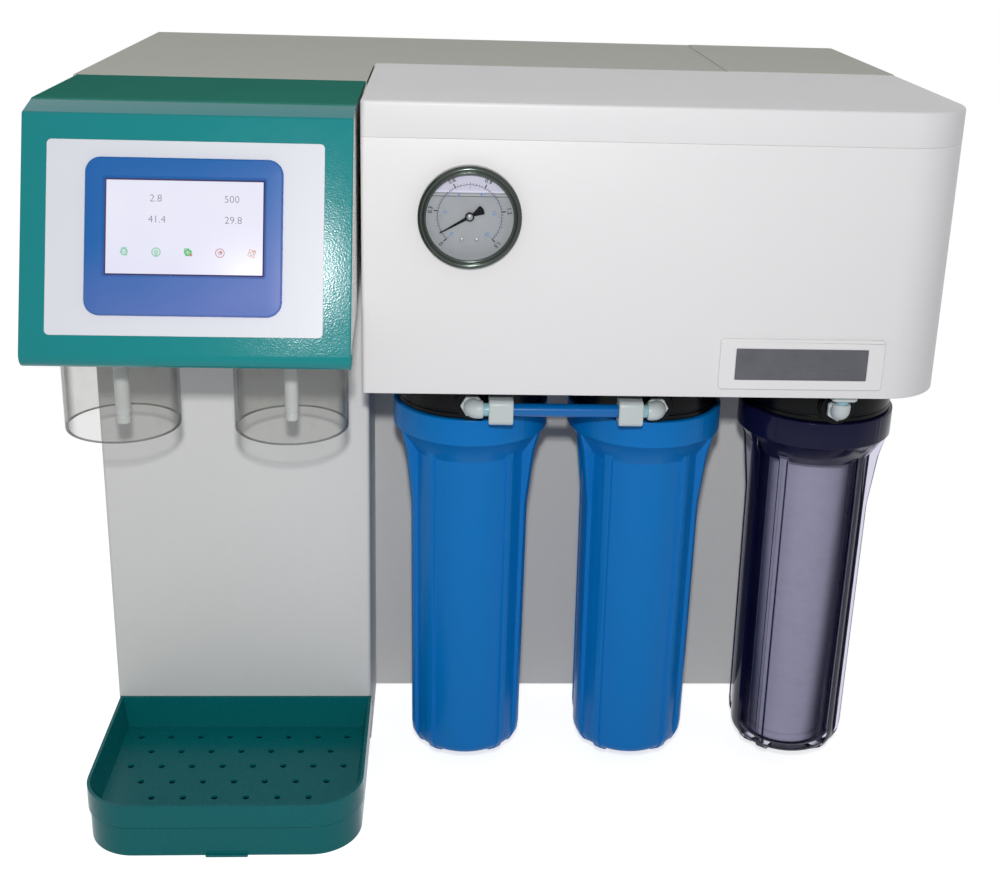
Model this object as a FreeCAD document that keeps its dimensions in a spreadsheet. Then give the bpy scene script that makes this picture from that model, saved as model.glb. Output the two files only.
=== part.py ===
import FreeCAD, Part
import math
import os
import Sketcher

# Laboratory ultrapure water system: a tall cream casing with a dispensing head, a drip tray,
# an upper cabinet with a pressure gauge, and three ribbed filter housings that hang in front.
# All lengths are millimetres. X runs to the right, Y to the back and Z up. The origin lies on
# the table under the middle of the whole unit.

# Driving sizes
# "Left" and "right" places are measured from the casing's left side, and places in depth
# from the face of the panel behind the filters. A drop is measured down and a rise up from what
# carries the piece.
SIZES = {
    "overrun": 5,
    "sheet": 1.5,
    "casing_width": 622,
    "casing_height": 550,
    "casing_rear": 220,
    "foot_height": 2,
    "foot_radius": 12,
    "foot_inset": 26,
    "column_width": 207,
    "column_front": 89,
    "fold_radius": 3,
    "top_overhang": 5,
    "top_fold": 10,
    "ledge_depth": 11,
    "ledge_height": 23,
    "raised_plate_width": 135,
    "raised_plate_inset": 7,
    "raised_plate_rise": 1,
    "louvre_width": 90,
    "louvre_height": 5,
    "louvre_pitch": 14,
    "louvre_rise": 260,
    "louvre_left": 330,
    "screw_radius": 4,
    "screw_head": 2,
    "screw_inset": 8,
    "cabinet_gap": 1,
    "cabinet_front": 195,
    "cabinet_drop": 201,
    "cabinet_wall": 3,
    "cabinet_corner": 46,
    "cabinet_edge": 3,
    "lid_rise": 1,
    "lid_lip": 1,
    "lid_wall": 2.5,
    "lid_rib": 8,
    "lid_gap": 0.5,
    "head_left": 2.5,
    "head_margin": 0.5,
    "head_back": 94,
    "head_top_front": 231,
    "head_lean": 57,
    "head_drop": 159.3,
    "under_rise_share": 0.22,
    "head_top_round": 10,
    "head_nose_round": 8,
    "head_shell": 2,
    "head_lip": 26,
    "cheek_wall": 3,
    "cheek_set": 1.5,
    "head_floor": 3,
    "fascia_left": 18.4,
    "fascia_right": 189,
    "fascia_top": 22.4,
    "fascia_bottom": 143.5,
    "fascia_wall": 0.8,
    "fascia_round": 3,
    "bezel_left": 42.5,
    "bezel_right": 163.7,
    "bezel_top": 33.2,
    "bezel_bottom": 131.1,
    "bezel_wall": 3,
    "bezel_round": 9.5,
    "screen_left": 54.5,
    "screen_right": 152.3,
    "screen_top": 46.3,
    "screen_bottom": 105.9,
    "screen_glass": 1.2,
    "module_margin": 4,
    "module_depth": 9,
    "outlet_depth": 200,
    "left_outlet": 45,
    "left_outlet_radius": 5.25,
    "left_outlet_drop": 222,
    "right_outlet": 160,
    "right_outlet_radius": 4.75,
    "right_outlet_drop": 219,
    "outlet_bore": 3,
    "cup_radius": 39,
    "cup_wall": 2,
    "cup_drop": 223,
    "cup_collar_drop": 153,
    "cup_collar_wall": 1.7,
    "curved_gap": 0.3,
    "pick_reach": 0.4,
    "module_gap": 1,
    "socket_drop": 108,
    "manifold_left": 28,
    "manifold_right": 178,
    "manifold_depth": 30,
    "manifold_drop": 88,
    "tray_left": 1.5,
    "tray_overlap": 0.5,
    "tray_front": 240,
    "tray_round": 38,
    "tray_height": 44,
    "tray_seam": 24,
    "tray_inset": 1.5,
    "tray_wall": 2.5,
    "tray_floor": 19,
    "tray_plate": 2,
    "tray_bottom": 3,
    "tray_gap": 0.3,
    "tab_left": 93,
    "tab_width": 31,
    "tab_reach": 2.5,
    "tab_height": 9,
    "drain_radius": 2.5,
    "drain_pitch": 23.87,
    "drain_row": 20.68,
    "drain_left": 21.48,
    "drain_back": 111.1,
    "gauge_inset": 72.5,
    "gauge_drop": 74.5,
    "gauge_bezel_radius": 34.75,
    "gauge_window": 29.2,
    "gauge_proud": 8.5,
    "gauge_case_radius": 31.5,
    "gauge_case_wall": 1.5,
    "gauge_depth": 30,
    "gauge_lens_wall": 1.5,
    "gauge_lens_set": 2,
    "gauge_dial_wall": 0.8,
    "gauge_dial_set": 7,
    "pointer_length": 23,
    "pointer_tail": 9,
    "pointer_width": 2.2,
    "pointer_tail_width": 6,
    "pointer_hub": 3.6,
    "pointer_wall": 0.6,
    "pointer_lift": 0.6,
    "pointer_boss": 0.8,
    "spindle_radius": 1,
    "spindle_gap": 0.05,
    "pointer_tip_share": 0.25,
    "movement_radius": 14,
    "plate_inset": 50,
    "plate_width": 116,
    "plate_drop": 157.2,
    "plate_height": 36.8,
    "plate_frame": 11.4,
    "plate_frame_side": 7,
    "plate_proud": 3,
    "plate_wall": 1,
    "plate_round": 3,
    "filter_inset": 77.2,
    "filter_pitch": 133.2,
    "filter_depth": 105,
    "collar_radius": 58.5,
    "collar_step": 1.5,
    "collar_drop": 31.5,
    "collar_height": 20.5,
    "shoulder_radius": 45.2,
    "shoulder_drop": 18,
    "sump_foot_radius": 43.2,
    "sump_bottom": 25,
    "sump_wall": 4,
    "sump_round": 8,
    "rib_width": 6.5,
    "rib_reach": 3,
    "rib_turn_share": 0.667,
    "rib_flare_drop": 60,
    "rib_bottom": 20,
    "rib_inner": 26,
    "rib_foot": 7,
    "collar_bore": 51,
    "seal_radius": 1.75,
    "seal_ring_radius": 49,
    "ledge_radius": 46.5,
    "cap_skirt_radius": 56,
    "cap_neck_radius": 50.7,
    "cap_ceiling_rise": 22.5,
    "cap_post_radius": 20,
    "cap_dome_rise": 23,
    "cap_dome_radius": 34,
    "cap_round": 8,
    "cap_wall": 5,
    "cap_boss_radius": 8,
    "cap_boss_across": 20,
    "cap_boss_rise": 4,
    "port_rise": 13.5,
    "port_radius": 13,
    "port_reach": 61,
    "port_root": 48,
    "port_bore": 6,
    "cartridge_radius": 30.5,
    "cartridge_core": 13,
    "cartridge_drop": 8,
    "cartridge_cap": 7,
    "cartridge_cap_radius": 32.5,
    "bracket_wall": 3,
    "bracket_margin": 53,
    "bracket_inset": 17.4,
    "bracket_reach": 150,
    "bracket_flange": 58,
    "fitting_depth": 176,
    "fitting_radius": 7.5,
    "fitting_bore": 3.5,
    "union_radius": 9.5,
    "union_length": 17.5,
    "union_start": 11.5,
    "tube_radius": 4.75,
    "tube_bore": 3.2,
    "nut_gap": 0.1,
    "riser_drop": 110,
    "rear_tube_end": 30,
    "vessel_pitch": 122,
    "vessel_deep": 112,
    "vessel_radius": 47,
    "vessel_height": 440,
    "vessel_neck": 9,
    "vessel_cap_step": 3,
    "column_pitch": 106,
    "resin_radius": 41,
    "resin_height": 390,
    "pump_inset": 64,
    "pump_radius": 38,
    "pump_length": 108,
    "pump_head": 40,
    "pump_lift": 12,
    "supply_left": 30,
    "supply_width": 110,
    "supply_depth": 170,
    "supply_height": 62,
    "supply_back": 190,
    "board_height": 150,
    "board_up": 250,
    "board_depth": 170,
    "board_back": 190,
    "board_wall": 1.6,
    "board_standoff": 8,
    "board_standoff_radius": 4,
    "inlet_left": 40,
    "inlet_up": 90,
    "inlet_width": 80,
    "inlet_height": 30,
    "inlet_depth": 24,
    "inlet_flange": 5,
    "inlet_flange_wall": 2,
    "socket_width": 27,
    "socket_height": 20,
    "socket_depth": 15,
    "socket_left": 8,
    "pin_radius": 1.8,
    "pin_pitch": 7,
    "pin_length": 11,
    "pin_rise": 2,
    "well_width": 19,
    "well_height": 22,
    "well_depth": 9,
    "well_right": 9,
    "rocker_width": 18.2,
    "rocker_half": 10,
    "rocker_proud": 3.5,
    "rocker_dish": 2,
    "rocker_back": 7,
    "rocker_foot": 3,
    "pivot_radius": 1.5,
    "pivot_length": 1.5,
    "pivot_gap": 0.1,
    "bulkhead_inset": 38,
    "bulkhead_pitch": 38,
    "bulkhead_up": 110,
    "bulkhead_reach": 18,
    "bulkhead_radius": 9.5,
    "bulkhead_nut_radius": 12,
    "bulkhead_nut": 8,
    "bulkhead_tube_radius": 4.7625,
    "bulkhead_bore_depth": 15,
    "bulkhead_inner": 22,
}

doc = FreeCAD.newDocument("ultrapure_water_system")
sheet = doc.addObject("Spreadsheet::Sheet", "sizes")
nodes = []


class Size:
    """A size that knows its value and the sheet expression that gives it."""

    def __init__(self, number, text):
        self.number = float(number)
        self.text = text

    @staticmethod
    def of(value):
        return value if isinstance(value, Size) else Size(value, "%.12g" % value)

    def joined(self, other, sign, number):
        return Size(number, "(%s %s %s)" % (self.text, sign, other.text))

    def __add__(self, other):
        other = Size.of(other)
        return self.joined(other, "+", self.number + other.number)

    __radd__ = __add__

    def __sub__(self, other):
        other = Size.of(other)
        return self.joined(other, "-", self.number - other.number)

    def __rsub__(self, other):
        return Size.of(other) - self

    def __mul__(self, other):
        other = Size.of(other)
        return self.joined(other, "*", self.number * other.number)

    __rmul__ = __mul__

    def __truediv__(self, other):
        other = Size.of(other)
        return self.joined(other, "/", self.number / other.number)

    def __rtruediv__(self, other):
        return Size.of(other) / self

    def __neg__(self):
        return Size.of(0) - self

    def root(self):
        return Size(math.sqrt(self.number), "sqrt(%s)" % self.text)


class Sizes:
    """The sheet's named sizes, as attributes."""


z = Sizes()
for row, (alias, value) in enumerate(SIZES.items(), 1):
    sheet.set("A%d" % row, alias)
    sheet.set("B%d" % row, "%.12g" % value)
    sheet.setAlias("B%d" % row, alias)
    setattr(z, alias, Size(value, "sizes." + alias))
doc.recompute()

# Counts
FILTERS = 3
BULKHEADS = 4

# Heights that hang from the casing's top
z.cabinet_bottom = z.casing_height - z.cabinet_drop
z.cabinet_top = z.casing_height - z.ledge_height
z.lid_height = z.casing_height + z.lid_rise
z.gauge_up = z.casing_height - z.gauge_drop
z.plate_top = z.casing_height - z.plate_drop
z.plate_bottom = z.plate_top - z.plate_height
z.left_outlet_bottom = z.casing_height - z.left_outlet_drop
z.right_outlet_bottom = z.casing_height - z.right_outlet_drop
z.cup_bottom = z.casing_height - z.cup_drop
z.cup_collar_bottom = z.casing_height - z.cup_collar_drop
z.socket_top = z.casing_height - z.socket_drop
z.manifold_top = z.casing_height - z.manifold_drop
z.riser_top = z.casing_height - z.riser_drop

# Heights of the filter housings, which hang under the cabinet
z.collar_top = z.cabinet_bottom - z.collar_drop
z.collar_bottom = z.collar_top - z.collar_height
z.shoulder_height = z.collar_bottom - z.shoulder_drop
z.rib_flare_bottom = z.collar_bottom - z.rib_flare_drop
z.cartridge_top = z.collar_bottom - z.cartridge_drop
z.port_height = z.collar_top + z.port_rise
z.cap_ceiling = z.collar_top + z.cap_ceiling_rise
z.cap_body_top = z.cap_ceiling + z.cap_wall
z.cap_dome_top = z.cap_body_top + z.cap_dome_rise
z.cap_boss_top = z.cap_dome_top + z.cap_boss_rise

# Places that follow the column, the cabinet, the filters or the casing's right side
z.tray_right = z.column_width + z.tray_overlap
z.head_width = z.column_width - z.head_margin - z.head_left
z.cabinet_left = z.column_width + z.cabinet_gap
z.gauge_across = z.cabinet_left + z.gauge_inset
z.filter_first = z.cabinet_left + z.filter_inset
z.plate_right = z.casing_width - z.plate_inset
z.plate_left = z.plate_right - z.plate_width
z.pump_across = z.casing_width - z.pump_inset
z.column_across = z.pump_across - z.column_pitch
z.vessel_across = z.column_across - z.vessel_pitch
z.bulkhead_first = z.casing_width - z.bulkhead_inset - z.bulkhead_pitch * (BULKHEADS - 1)
z.bracket_left = z.filter_first - z.bracket_margin
z.bracket_right = z.casing_width - z.bracket_inset

TURN = 360
QUARTER_TURN = 90
DIAL_SWEEP = 270
POINTER_READING = 15
ACROSS = FreeCAD.Vector(1, 0, 0)
BACKWARD = FreeCAD.Vector(0, 1, 0)
UPWARD = FreeCAD.Vector(0, 0, 1)


# Sketches and features
def bind(item, prop, size):
    item.setExpression(prop, Size.of(size).text)


def plane(body, role):
    return next(f for f in body.Origin.OriginFeatures if f.Role == role)


def sketch(body, name, role, start):
    sk = body.newObject("Sketcher::SketchObject", name)
    sk.AttachmentSupport = [(plane(body, role), "")]
    sk.MapMode = "FlatFace"
    bind(sk, "AttachmentOffset.Base.z", start)
    return sk


def fix_point(sk, geo, end, point):
    for kind, size in zip(("DistanceX", "DistanceY"), point):
        rule = sk.addConstraint(Sketcher.Constraint(kind, -1, 1, geo, end, size.number))
        bind(sk, "Constraints[%d]" % rule, size)


def flat(point):
    return FreeCAD.Vector(point[0].number, point[1].number, 0)


def tangent_points(corners, i):
    """The two points where a corner's round begins and ends, or the sharp corner itself."""
    u, v = (Size.of(c) for c in corners[i][:2])
    if len(corners[i]) == 2:
        return [(u, v)]
    radius = corners[i][2]
    points = []
    for near in (corners[i - 1], corners[(i + 1) % len(corners)]):
        du = Size.of(near[0]) - u
        dv = Size.of(near[1]) - v
        if abs(du.number) > abs(dv.number):
            points.append((u + radius * math.copysign(1, du.number), v))
        else:
            points.append((u, v + radius * math.copysign(1, dv.number)))
    return points


def draw(sk, corners):
    """Draws a closed outline; a corner with a third value is rounded by that radius."""
    points = [tangent_points(corners, i) for i in range(len(corners))]
    lines = []
    for i, ends in enumerate(points):
        following = points[(i + 1) % len(points)]
        lines.append(sk.addGeometry(Part.LineSegment(flat(ends[-1]), flat(following[0])), False))
    for i, ends in enumerate(points):
        before, after = lines[i - 1], lines[i]
        if len(ends) == 1:
            sk.addConstraint(Sketcher.Constraint("Coincident", before, 2, after, 1))
            fix_point(sk, after, 1, ends[0])
            continue
        fix_point(sk, before, 2, ends[0])
        fix_point(sk, after, 1, ends[1])
        corner = flat([Size.of(c) for c in corners[i][:2]])
        radius = corners[i][2]
        first, last = flat(ends[0]), flat(ends[1])
        centre = first + last - corner
        from_first, to_last = (math.atan2(*reversed((p - centre)[:2])) for p in (first, last))
        leftwards = math.sin(to_last - from_first) > 0
        low, high = (from_first, to_last) if leftwards else (to_last, from_first)
        if high < low:
            high += math.tau
        circle = Part.Circle(centre, UPWARD, radius.number)
        arc = sk.addGeometry(Part.ArcOfCircle(circle, low, high), False)
        begin, end = (1, 2) if leftwards else (2, 1)
        sk.addConstraint(Sketcher.Constraint("Coincident", before, 2, arc, begin))
        sk.addConstraint(Sketcher.Constraint("Coincident", arc, end, after, 1))
        rule = sk.addConstraint(Sketcher.Constraint("Radius", arc, radius.number))
        bind(sk, "Constraints[%d]" % rule, radius)


def draw_discs(sk, discs):
    for u, v, radius in discs:
        u, v, radius = Size.of(u), Size.of(v), Size.of(radius)
        circle = Part.Circle(flat((u, v)), UPWARD, radius.number)
        geo = sk.addGeometry(circle, False)
        fix_point(sk, geo, 3, (u, v))
        rule = sk.addConstraint(Sketcher.Constraint("Radius", geo, radius.number))
        bind(sk, "Constraints[%d]" % rule, radius)


def new_body(label):
    body = doc.addObject("PartDesign::Body", label)
    body.Label = label
    nodes.append(body)
    return body


def raise_from(body, kind, sk, length, name):
    feature = body.newObject(kind, name)
    feature.Profile = sk
    feature.Length = Size.of(length).number
    bind(feature, "Length", length)
    if kind.endswith("Pocket"):
        feature.Reversed = True
    return feature


def pad(body, name, role, corners, start, length):
    """Adds the outline, from start along its plane's normal, by length."""
    sk = sketch(body, name + "_outline", role, start)
    draw(sk, corners)
    return raise_from(body, "PartDesign::Pad", sk, length, name)


def cut(body, name, role, corners, start, length):
    """Cuts the outline, from start along its plane's normal, by length."""
    sk = sketch(body, name + "_outline", role, start)
    draw(sk, corners)
    return raise_from(body, "PartDesign::Pocket", sk, length, name)


def pad_discs(body, name, role, discs, start, length):
    sk = sketch(body, name + "_circles", role, start)
    draw_discs(sk, discs)
    return raise_from(body, "PartDesign::Pad", sk, length, name)


def cut_discs(body, name, role, discs, start, length):
    sk = sketch(body, name + "_circles", role, start)
    draw_discs(sk, discs)
    return raise_from(body, "PartDesign::Pocket", sk, length, name)


def turn(body, name, corners, kind="PartDesign::Revolution"):
    """Turns a profile of (radius, height) points about the body's own Z axis."""
    sk = sketch(body, name + "_profile", "XZ_Plane", 0)
    draw(sk, corners)
    feature = body.newObject(kind, name)
    feature.Profile = sk
    feature.ReferenceAxis = (sk, ["V_Axis"])
    feature.Angle = TURN
    return feature


def dress(body, name, kind, prop, size, wanted):
    """Rounds or bevels the edges of the body's last feature that the test picks."""
    doc.recompute()
    base = body.Tip
    names = ["Edge%d" % (i + 1) for i, edge in enumerate(base.Shape.Edges) if wanted(edge)]
    feature = body.newObject(kind, name)
    feature.Base = (base, names)
    setattr(feature, prop, Size.of(size).number)
    bind(feature, prop, size)
    return feature


def soften(body, name, radius, wanted):
    return dress(body, name, "PartDesign::Fillet", "Radius", radius, wanted)


def bevel(body, name, size, wanted):
    return dress(body, name, "PartDesign::Chamfer", "Size", size, wanted)


def span(edge):
    """An edge's box, with its sizes along X, Y and Z."""
    box = edge.BoundBox
    return box, (box.XLength, box.YLength, box.ZLength)


def inside(edge, left, right, low, high):
    """Whether an edge lies within a rectangle of the XY plane, its borders included."""
    box = edge.BoundBox
    near = z.pick_reach.number
    return (left.number - near < box.XMin and box.XMax < right.number + near
            and low.number - near < box.YMin and box.YMax < high.number + near)


def rectangle(left, bottom, right, top, *rounds):
    """Corners of a rectangle; one round serves all corners."""
    corners = [(left, bottom), (right, bottom), (right, top), (left, top)]
    return [c + tuple(rounds) for c in corners]


# Simple solids, and solids made of them
def block(name, length, width, height, x=0, y=0, up=0):
    item = doc.addObject("Part::Box", name)
    for prop, size in (("Length", length), ("Width", width), ("Height", height)):
        bind(item, prop, size)
    move(item, x, y, up)
    return item


def rod(name, radius, length, x=0, y=0, up=0, axis=None, angle=QUARTER_TURN):
    item = doc.addObject("Part::Cylinder", name)
    bind(item, "Radius", radius)
    bind(item, "Height", length)
    if axis is not None:
        item.Placement.Rotation = FreeCAD.Rotation(axis, angle)
    move(item, x, y, up)
    return item


def ball(name, radius, x=0, y=0, up=0):
    item = doc.addObject("Part::Sphere", name)
    bind(item, "Radius", radius)
    move(item, x, y, up)
    return item


def move(item, x, y, up):
    bind(item, "Placement.Base.x", x)
    bind(item, "Placement.Base.y", y)
    bind(item, "Placement.Base.z", up)


def fuse(name, items):
    item = doc.addObject("Part::MultiFuse", name)
    item.Shapes = items
    return item


def minus(name, base, tool):
    item = doc.addObject("Part::Cut", name)
    item.Base = base
    item.Tool = tool
    return item


def together(name, items):
    """A group of separate solids, such as a set of screws."""
    item = doc.addObject("Part::Compound", name)
    item.Links = items
    return item


def node(item, label):
    item.Label = label
    nodes.append(item)
    return item


# The object's frame
# The slope of the head's face and underside give its foremost point.
face_length = (z.head_lean * z.head_lean + z.head_drop * z.head_drop).root()
under_length = (1 + z.under_rise_share * z.under_rise_share).root()
nose_y = -z.head_top_front - z.head_lean
nose_up = z.casing_height - z.head_drop
nose_sine = (z.head_drop - z.under_rise_share * z.head_lean) / (face_length * under_length)
nose_centre = nose_y + z.head_nose_round * (z.head_lean / face_length + 1 / under_length) / nose_sine
head_reach = z.head_nose_round - nose_centre
middle_across = z.casing_width / 2
middle_deep = (z.casing_rear + z.bulkhead_reach - head_reach) / 2


def filter_across(n):
    """Distance of a filter's axis from the casing's left side."""
    return z.filter_first + z.filter_pitch * n


def put(item, x, y, up, axis=None, angle=0):
    """Places a piece by its distance from the casing's left side, the panel's face and the table."""
    if axis is not None:
        item.Placement.Rotation = FreeCAD.Rotation(axis, angle)
    move(item, Size.of(x) - middle_across, Size.of(y) - middle_deep, up)
    return item


# Casing
def column_cover():
    """The narrow left column: one sheet folded round its left side, front and inner side."""
    body = new_body("column_cover")
    inner = z.column_width - z.sheet
    back = z.casing_rear
    side_end = z.ledge_depth + z.sheet
    front = -z.column_front
    face = front + z.sheet
    bend = z.fold_radius
    hollow = z.fold_radius - z.sheet
    corners = [(0, front, bend), (z.column_width, front, bend), (z.column_width, side_end), (inner, side_end),
               (inner, face, hollow), (z.sheet, face, hollow), (z.sheet, back), (0, back)]
    pad(body, "folded_sheet", "XY_Plane", corners, 0, z.casing_height - z.sheet - z.foot_height)
    return put(body, 0, 0, z.foot_height)


def recess_panel():
    """The panel behind the filters, folded back round the casing's right side."""
    body = new_body("recess_panel")
    width = z.casing_width - z.column_width
    right = width - z.sheet
    bend = z.fold_radius
    corners = [(0, 0), (width, 0, bend), (width, z.casing_rear), (right, z.casing_rear),
               (right, z.sheet, bend - z.sheet), (0, z.sheet)]
    low = z.foot_height + z.sheet
    ledge_up = z.casing_height - z.ledge_height
    pad(body, "folded_sheet", "XY_Plane", corners, 0, z.casing_height - z.sheet - low)
    top = z.casing_height - low
    ledge = ledge_up - z.sheet - low
    cut(body, "cabinet_step", "YZ_Plane",
        rectangle(-z.overrun, ledge, z.ledge_depth + z.sheet, top), -z.overrun, width + 2 * z.overrun)
    holes = [(filter_across(n) - z.column_width, z.port_height - low, z.tube_radius + z.curved_gap)
             for n in range(FILTERS)]
    cut_discs(body, "tube_holes", "XZ_Plane", holes, -z.sheet - z.overrun, z.sheet + 2 * z.overrun)
    return put(body, z.column_width, 0, low)


def base_plate():
    """The floor of the casing, an L seen from above."""
    body = new_body("base_plate")
    front = -z.column_front
    side_end = z.ledge_depth + z.sheet
    inner = z.column_width - z.sheet
    corners = [(z.sheet, front + z.fold_radius), (z.fold_radius, front + z.sheet),
               (z.column_width - z.fold_radius, front + z.sheet), (inner, front + z.fold_radius),
               (inner, side_end), (z.column_width, side_end), (z.column_width, 0),
               (z.casing_width - z.fold_radius, 0), (z.casing_width, z.fold_radius),
               (z.casing_width, z.casing_rear), (z.sheet, z.casing_rear)]
    pad(body, "floor", "XY_Plane", corners, 0, z.sheet)
    return put(body, 0, 0, z.foot_height)


def rubber_feet():
    """Low pads under the casing's corners."""
    inset = z.foot_inset
    places = [(inset, inset - z.column_front), (inset, z.casing_rear - inset),
              (z.casing_width - inset, inset), (z.casing_width - inset, z.casing_rear - inset),
              (z.column_width + inset, inset)]
    feet = []
    for n, (x, y) in enumerate(places):
        foot = rod("foot_%d" % n, z.foot_radius, z.foot_height)
        feet.append(put(foot, x, y, 0))
    return node(together("feet", feet), "rubber_feet")


def top_plate():
    """The top: a lip over the column's front, and a step down behind the cabinet's lid."""
    body = new_body("top_plate")
    front = -z.column_front - z.top_overhang
    step = z.ledge_depth
    corners = [(0, front), (z.column_width, front), (z.column_width, step), (z.casing_width, step),
               (z.casing_width, z.casing_rear), (0, z.casing_rear)]
    pad(body, "top", "XY_Plane", corners, -z.sheet, z.sheet)
    pad(body, "front_lip", "XY_Plane", rectangle(0, front, z.column_width, front + z.sheet), -z.top_fold,
        z.top_fold)
    pad(body, "step_wall", "XY_Plane", rectangle(z.column_width, step, z.casing_width, step + z.sheet),
        -z.ledge_height, z.ledge_height)
    pad(body, "step_floor", "XY_Plane", rectangle(z.column_width, 0, z.casing_width, step + z.sheet),
        -z.ledge_height - z.sheet, z.sheet)
    return put(body, 0, 0, z.casing_height)


def rear_top_cover():
    """The slightly raised plate at the right rear of the top."""
    body = new_body("rear_top_cover")
    depth = z.casing_rear - z.raised_plate_inset - z.ledge_depth
    pad(body, "plate", "XY_Plane", rectangle(0, 0, z.raised_plate_width, depth, z.fold_radius), 0,
        z.raised_plate_rise)
    return put(body, z.casing_width - z.raised_plate_width, z.ledge_depth, z.casing_height)


LOUVRES = 8


def rear_cover():
    """The back panel, with louvres and holes for the inlet, the switch and the tube fittings."""
    body = new_body("rear_cover")
    low = z.foot_height + z.sheet
    height = z.casing_height - z.sheet - low
    left = z.sheet
    right = z.casing_width - z.sheet
    pad(body, "panel", "XZ_Plane", rectangle(left, 0, right, height), 0, z.sheet)
    through = z.sheet + 2 * z.overrun
    inlet = rectangle(z.inlet_left, z.inlet_up - low, z.inlet_left + z.inlet_width,
                      z.inlet_up + z.inlet_height - low)
    cut(body, "inlet_opening", "XZ_Plane", inlet, -z.overrun, through)
    holes = [(z.bulkhead_first + z.bulkhead_pitch * n, z.bulkhead_up - low, z.bulkhead_radius + z.curved_gap)
             for n in range(BULKHEADS)]
    cut_discs(body, "fitting_holes", "XZ_Plane", holes, -z.overrun, through)
    for n in range(LOUVRES):
        up = z.louvre_rise + z.louvre_pitch * n - low
        slot = rectangle(z.louvre_left, up, z.louvre_left + z.louvre_width, up + z.louvre_height)
        cut(body, "louvre_%d" % n, "XZ_Plane", slot, -z.overrun, through)
    return put(body, 0, z.casing_rear, low)


def cover_screws():
    """Round screw heads along the edges of the back panel."""
    inset = z.screw_inset
    low = z.foot_height + z.sheet + inset
    high = z.casing_height - z.sheet - inset
    columns = [z.sheet + inset, middle_across, z.casing_width - z.sheet - inset]
    heads = []
    for x in columns:
        for up in (low, high):
            head = rod("cover_screw_%d" % len(heads), z.screw_radius, z.screw_head, axis=ACROSS,
                       angle=-QUARTER_TURN)
            heads.append(put(head, x, z.casing_rear, up))
    return node(together("cover_screw_set", heads), "cover_screws")


# Upper cabinet
def cabinet_outline(gap, corner, edge):
    """The cabinet seen from above: square at the left, rounded at its right front corner."""
    right = z.casing_width - z.cabinet_left
    return [(gap, -z.cabinet_front + gap, edge), (right - gap, -z.cabinet_front + gap, corner),
            (right - gap, 0),
            (gap, 0)]


def upper_cabinet():
    """The moulded shell above the filters, open below and closed at the top by its lid."""
    body = new_body("upper_cabinet")
    height = z.cabinet_top - z.cabinet_bottom
    wall = z.cabinet_wall
    pad(body, "shell", "XY_Plane", cabinet_outline(0, z.cabinet_corner, z.cabinet_edge), 0, height)
    inner = cabinet_outline(wall, z.cabinet_corner - wall, z.cabinet_edge / 2)
    inner[2] = (inner[2][0], z.overrun)
    inner[3] = (inner[3][0], z.overrun)
    cut(body, "inside", "XY_Plane", inner, -z.overrun, height + 2 * z.overrun)
    hole = (z.gauge_across - z.cabinet_left, z.gauge_up - z.cabinet_bottom,
            z.gauge_case_radius + z.curved_gap)
    cut_discs(body, "gauge_hole", "XZ_Plane", [hole], z.cabinet_front - z.cabinet_wall - z.overrun,
              z.cabinet_wall + 2 * z.overrun)
    return put(body, z.cabinet_left, 0, z.cabinet_bottom)


def cabinet_lid():
    """The lift-off lid: a shallow cap with a rib inside that locates it in the cabinet."""
    body = new_body("cabinet_lid")
    right = z.casing_width - z.cabinet_left
    height = z.lid_height - z.cabinet_top
    wall = z.lid_wall
    back = z.ledge_depth - z.lid_lip
    front = -z.cabinet_front - z.lid_lip
    corner = z.cabinet_corner + z.lid_lip
    edge = z.cabinet_edge + z.lid_lip
    outer = [(0, front, edge), (right, front, corner), (right, back), (0, back)]
    pad(body, "cap", "XY_Plane", outer, 0, height)
    soften(body, "rim", z.lid_wall - z.lid_gap,
           lambda e: span(e)[1][2] < z.lid_gap.number and span(e)[0].ZMin > height.number / 2)
    inner = [(wall, front + wall, edge - wall), (right - wall, front + wall, corner - wall),
             (right - wall, back - wall), (wall, back - wall)]
    cut(body, "hollow", "XY_Plane", inner, -z.overrun, height - wall + z.overrun)
    reach = z.cabinet_wall + z.lid_gap
    thick = reach + z.lid_wall
    for name, left in (("left_rib", reach), ("right_rib", right - thick)):
        pad(body, name, "XY_Plane",
            rectangle(left, -z.cabinet_front + z.cabinet_corner, left + z.lid_wall, -z.cabinet_corner),
            -z.lid_rib, height - wall + z.lid_rib)
    return put(body, z.cabinet_left, 0, z.cabinet_top)


# Dispensing head
# The head's side view, as (depth, height) points. Its face leans forward as it comes down, and its
# underside rises towards the column. Walls are set in square to the slopes.
def face_set_in(wall):
    """How far a wall square to the leaning face reaches back, measured level."""
    return wall * face_length / z.head_drop


def face_at(up, wall):
    """Depth of the leaning face, or of a wall behind it, at a height."""
    return -z.head_top_front - (z.casing_height - up) * z.head_lean / z.head_drop + face_set_in(wall)


def under_at(deep, wall):
    """Height of the underside, or of a wall above it, at a depth."""
    return nose_up + (deep - nose_y) * z.under_rise_share + wall * under_length


def nose_at(face_wall, under_wall):
    """Where a line behind the face meets a line above the underside."""
    lean = z.head_lean / z.head_drop
    top = z.casing_height
    lowest = under_at(0, under_wall)
    slope = z.under_rise_share
    back = -z.head_top_front - top * lean + face_set_in(face_wall)
    deep = (back + lean * lowest) / (1 - lean * slope)
    return deep, under_at(deep, under_wall)


def head_section(wall):
    """Corners of the head's side view, set in by a wall on its top, face and underside."""
    top = z.casing_height - wall
    back = -z.head_back
    return [(back, under_at(back, wall)), (back, top), (face_at(top, wall), top), nose_at(wall, wall)]


def at_point(deep, up):
    """Tests for an edge that runs across, through a (depth, height) point of the side view."""
    def wanted(edge):
        box, (across, _, _) = span(edge)
        near = z.pick_reach.number
        return (across > near and abs(box.Center.y - deep.number) < near
                and abs(box.Center.z - up.number) < near)
    return wanted


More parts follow.
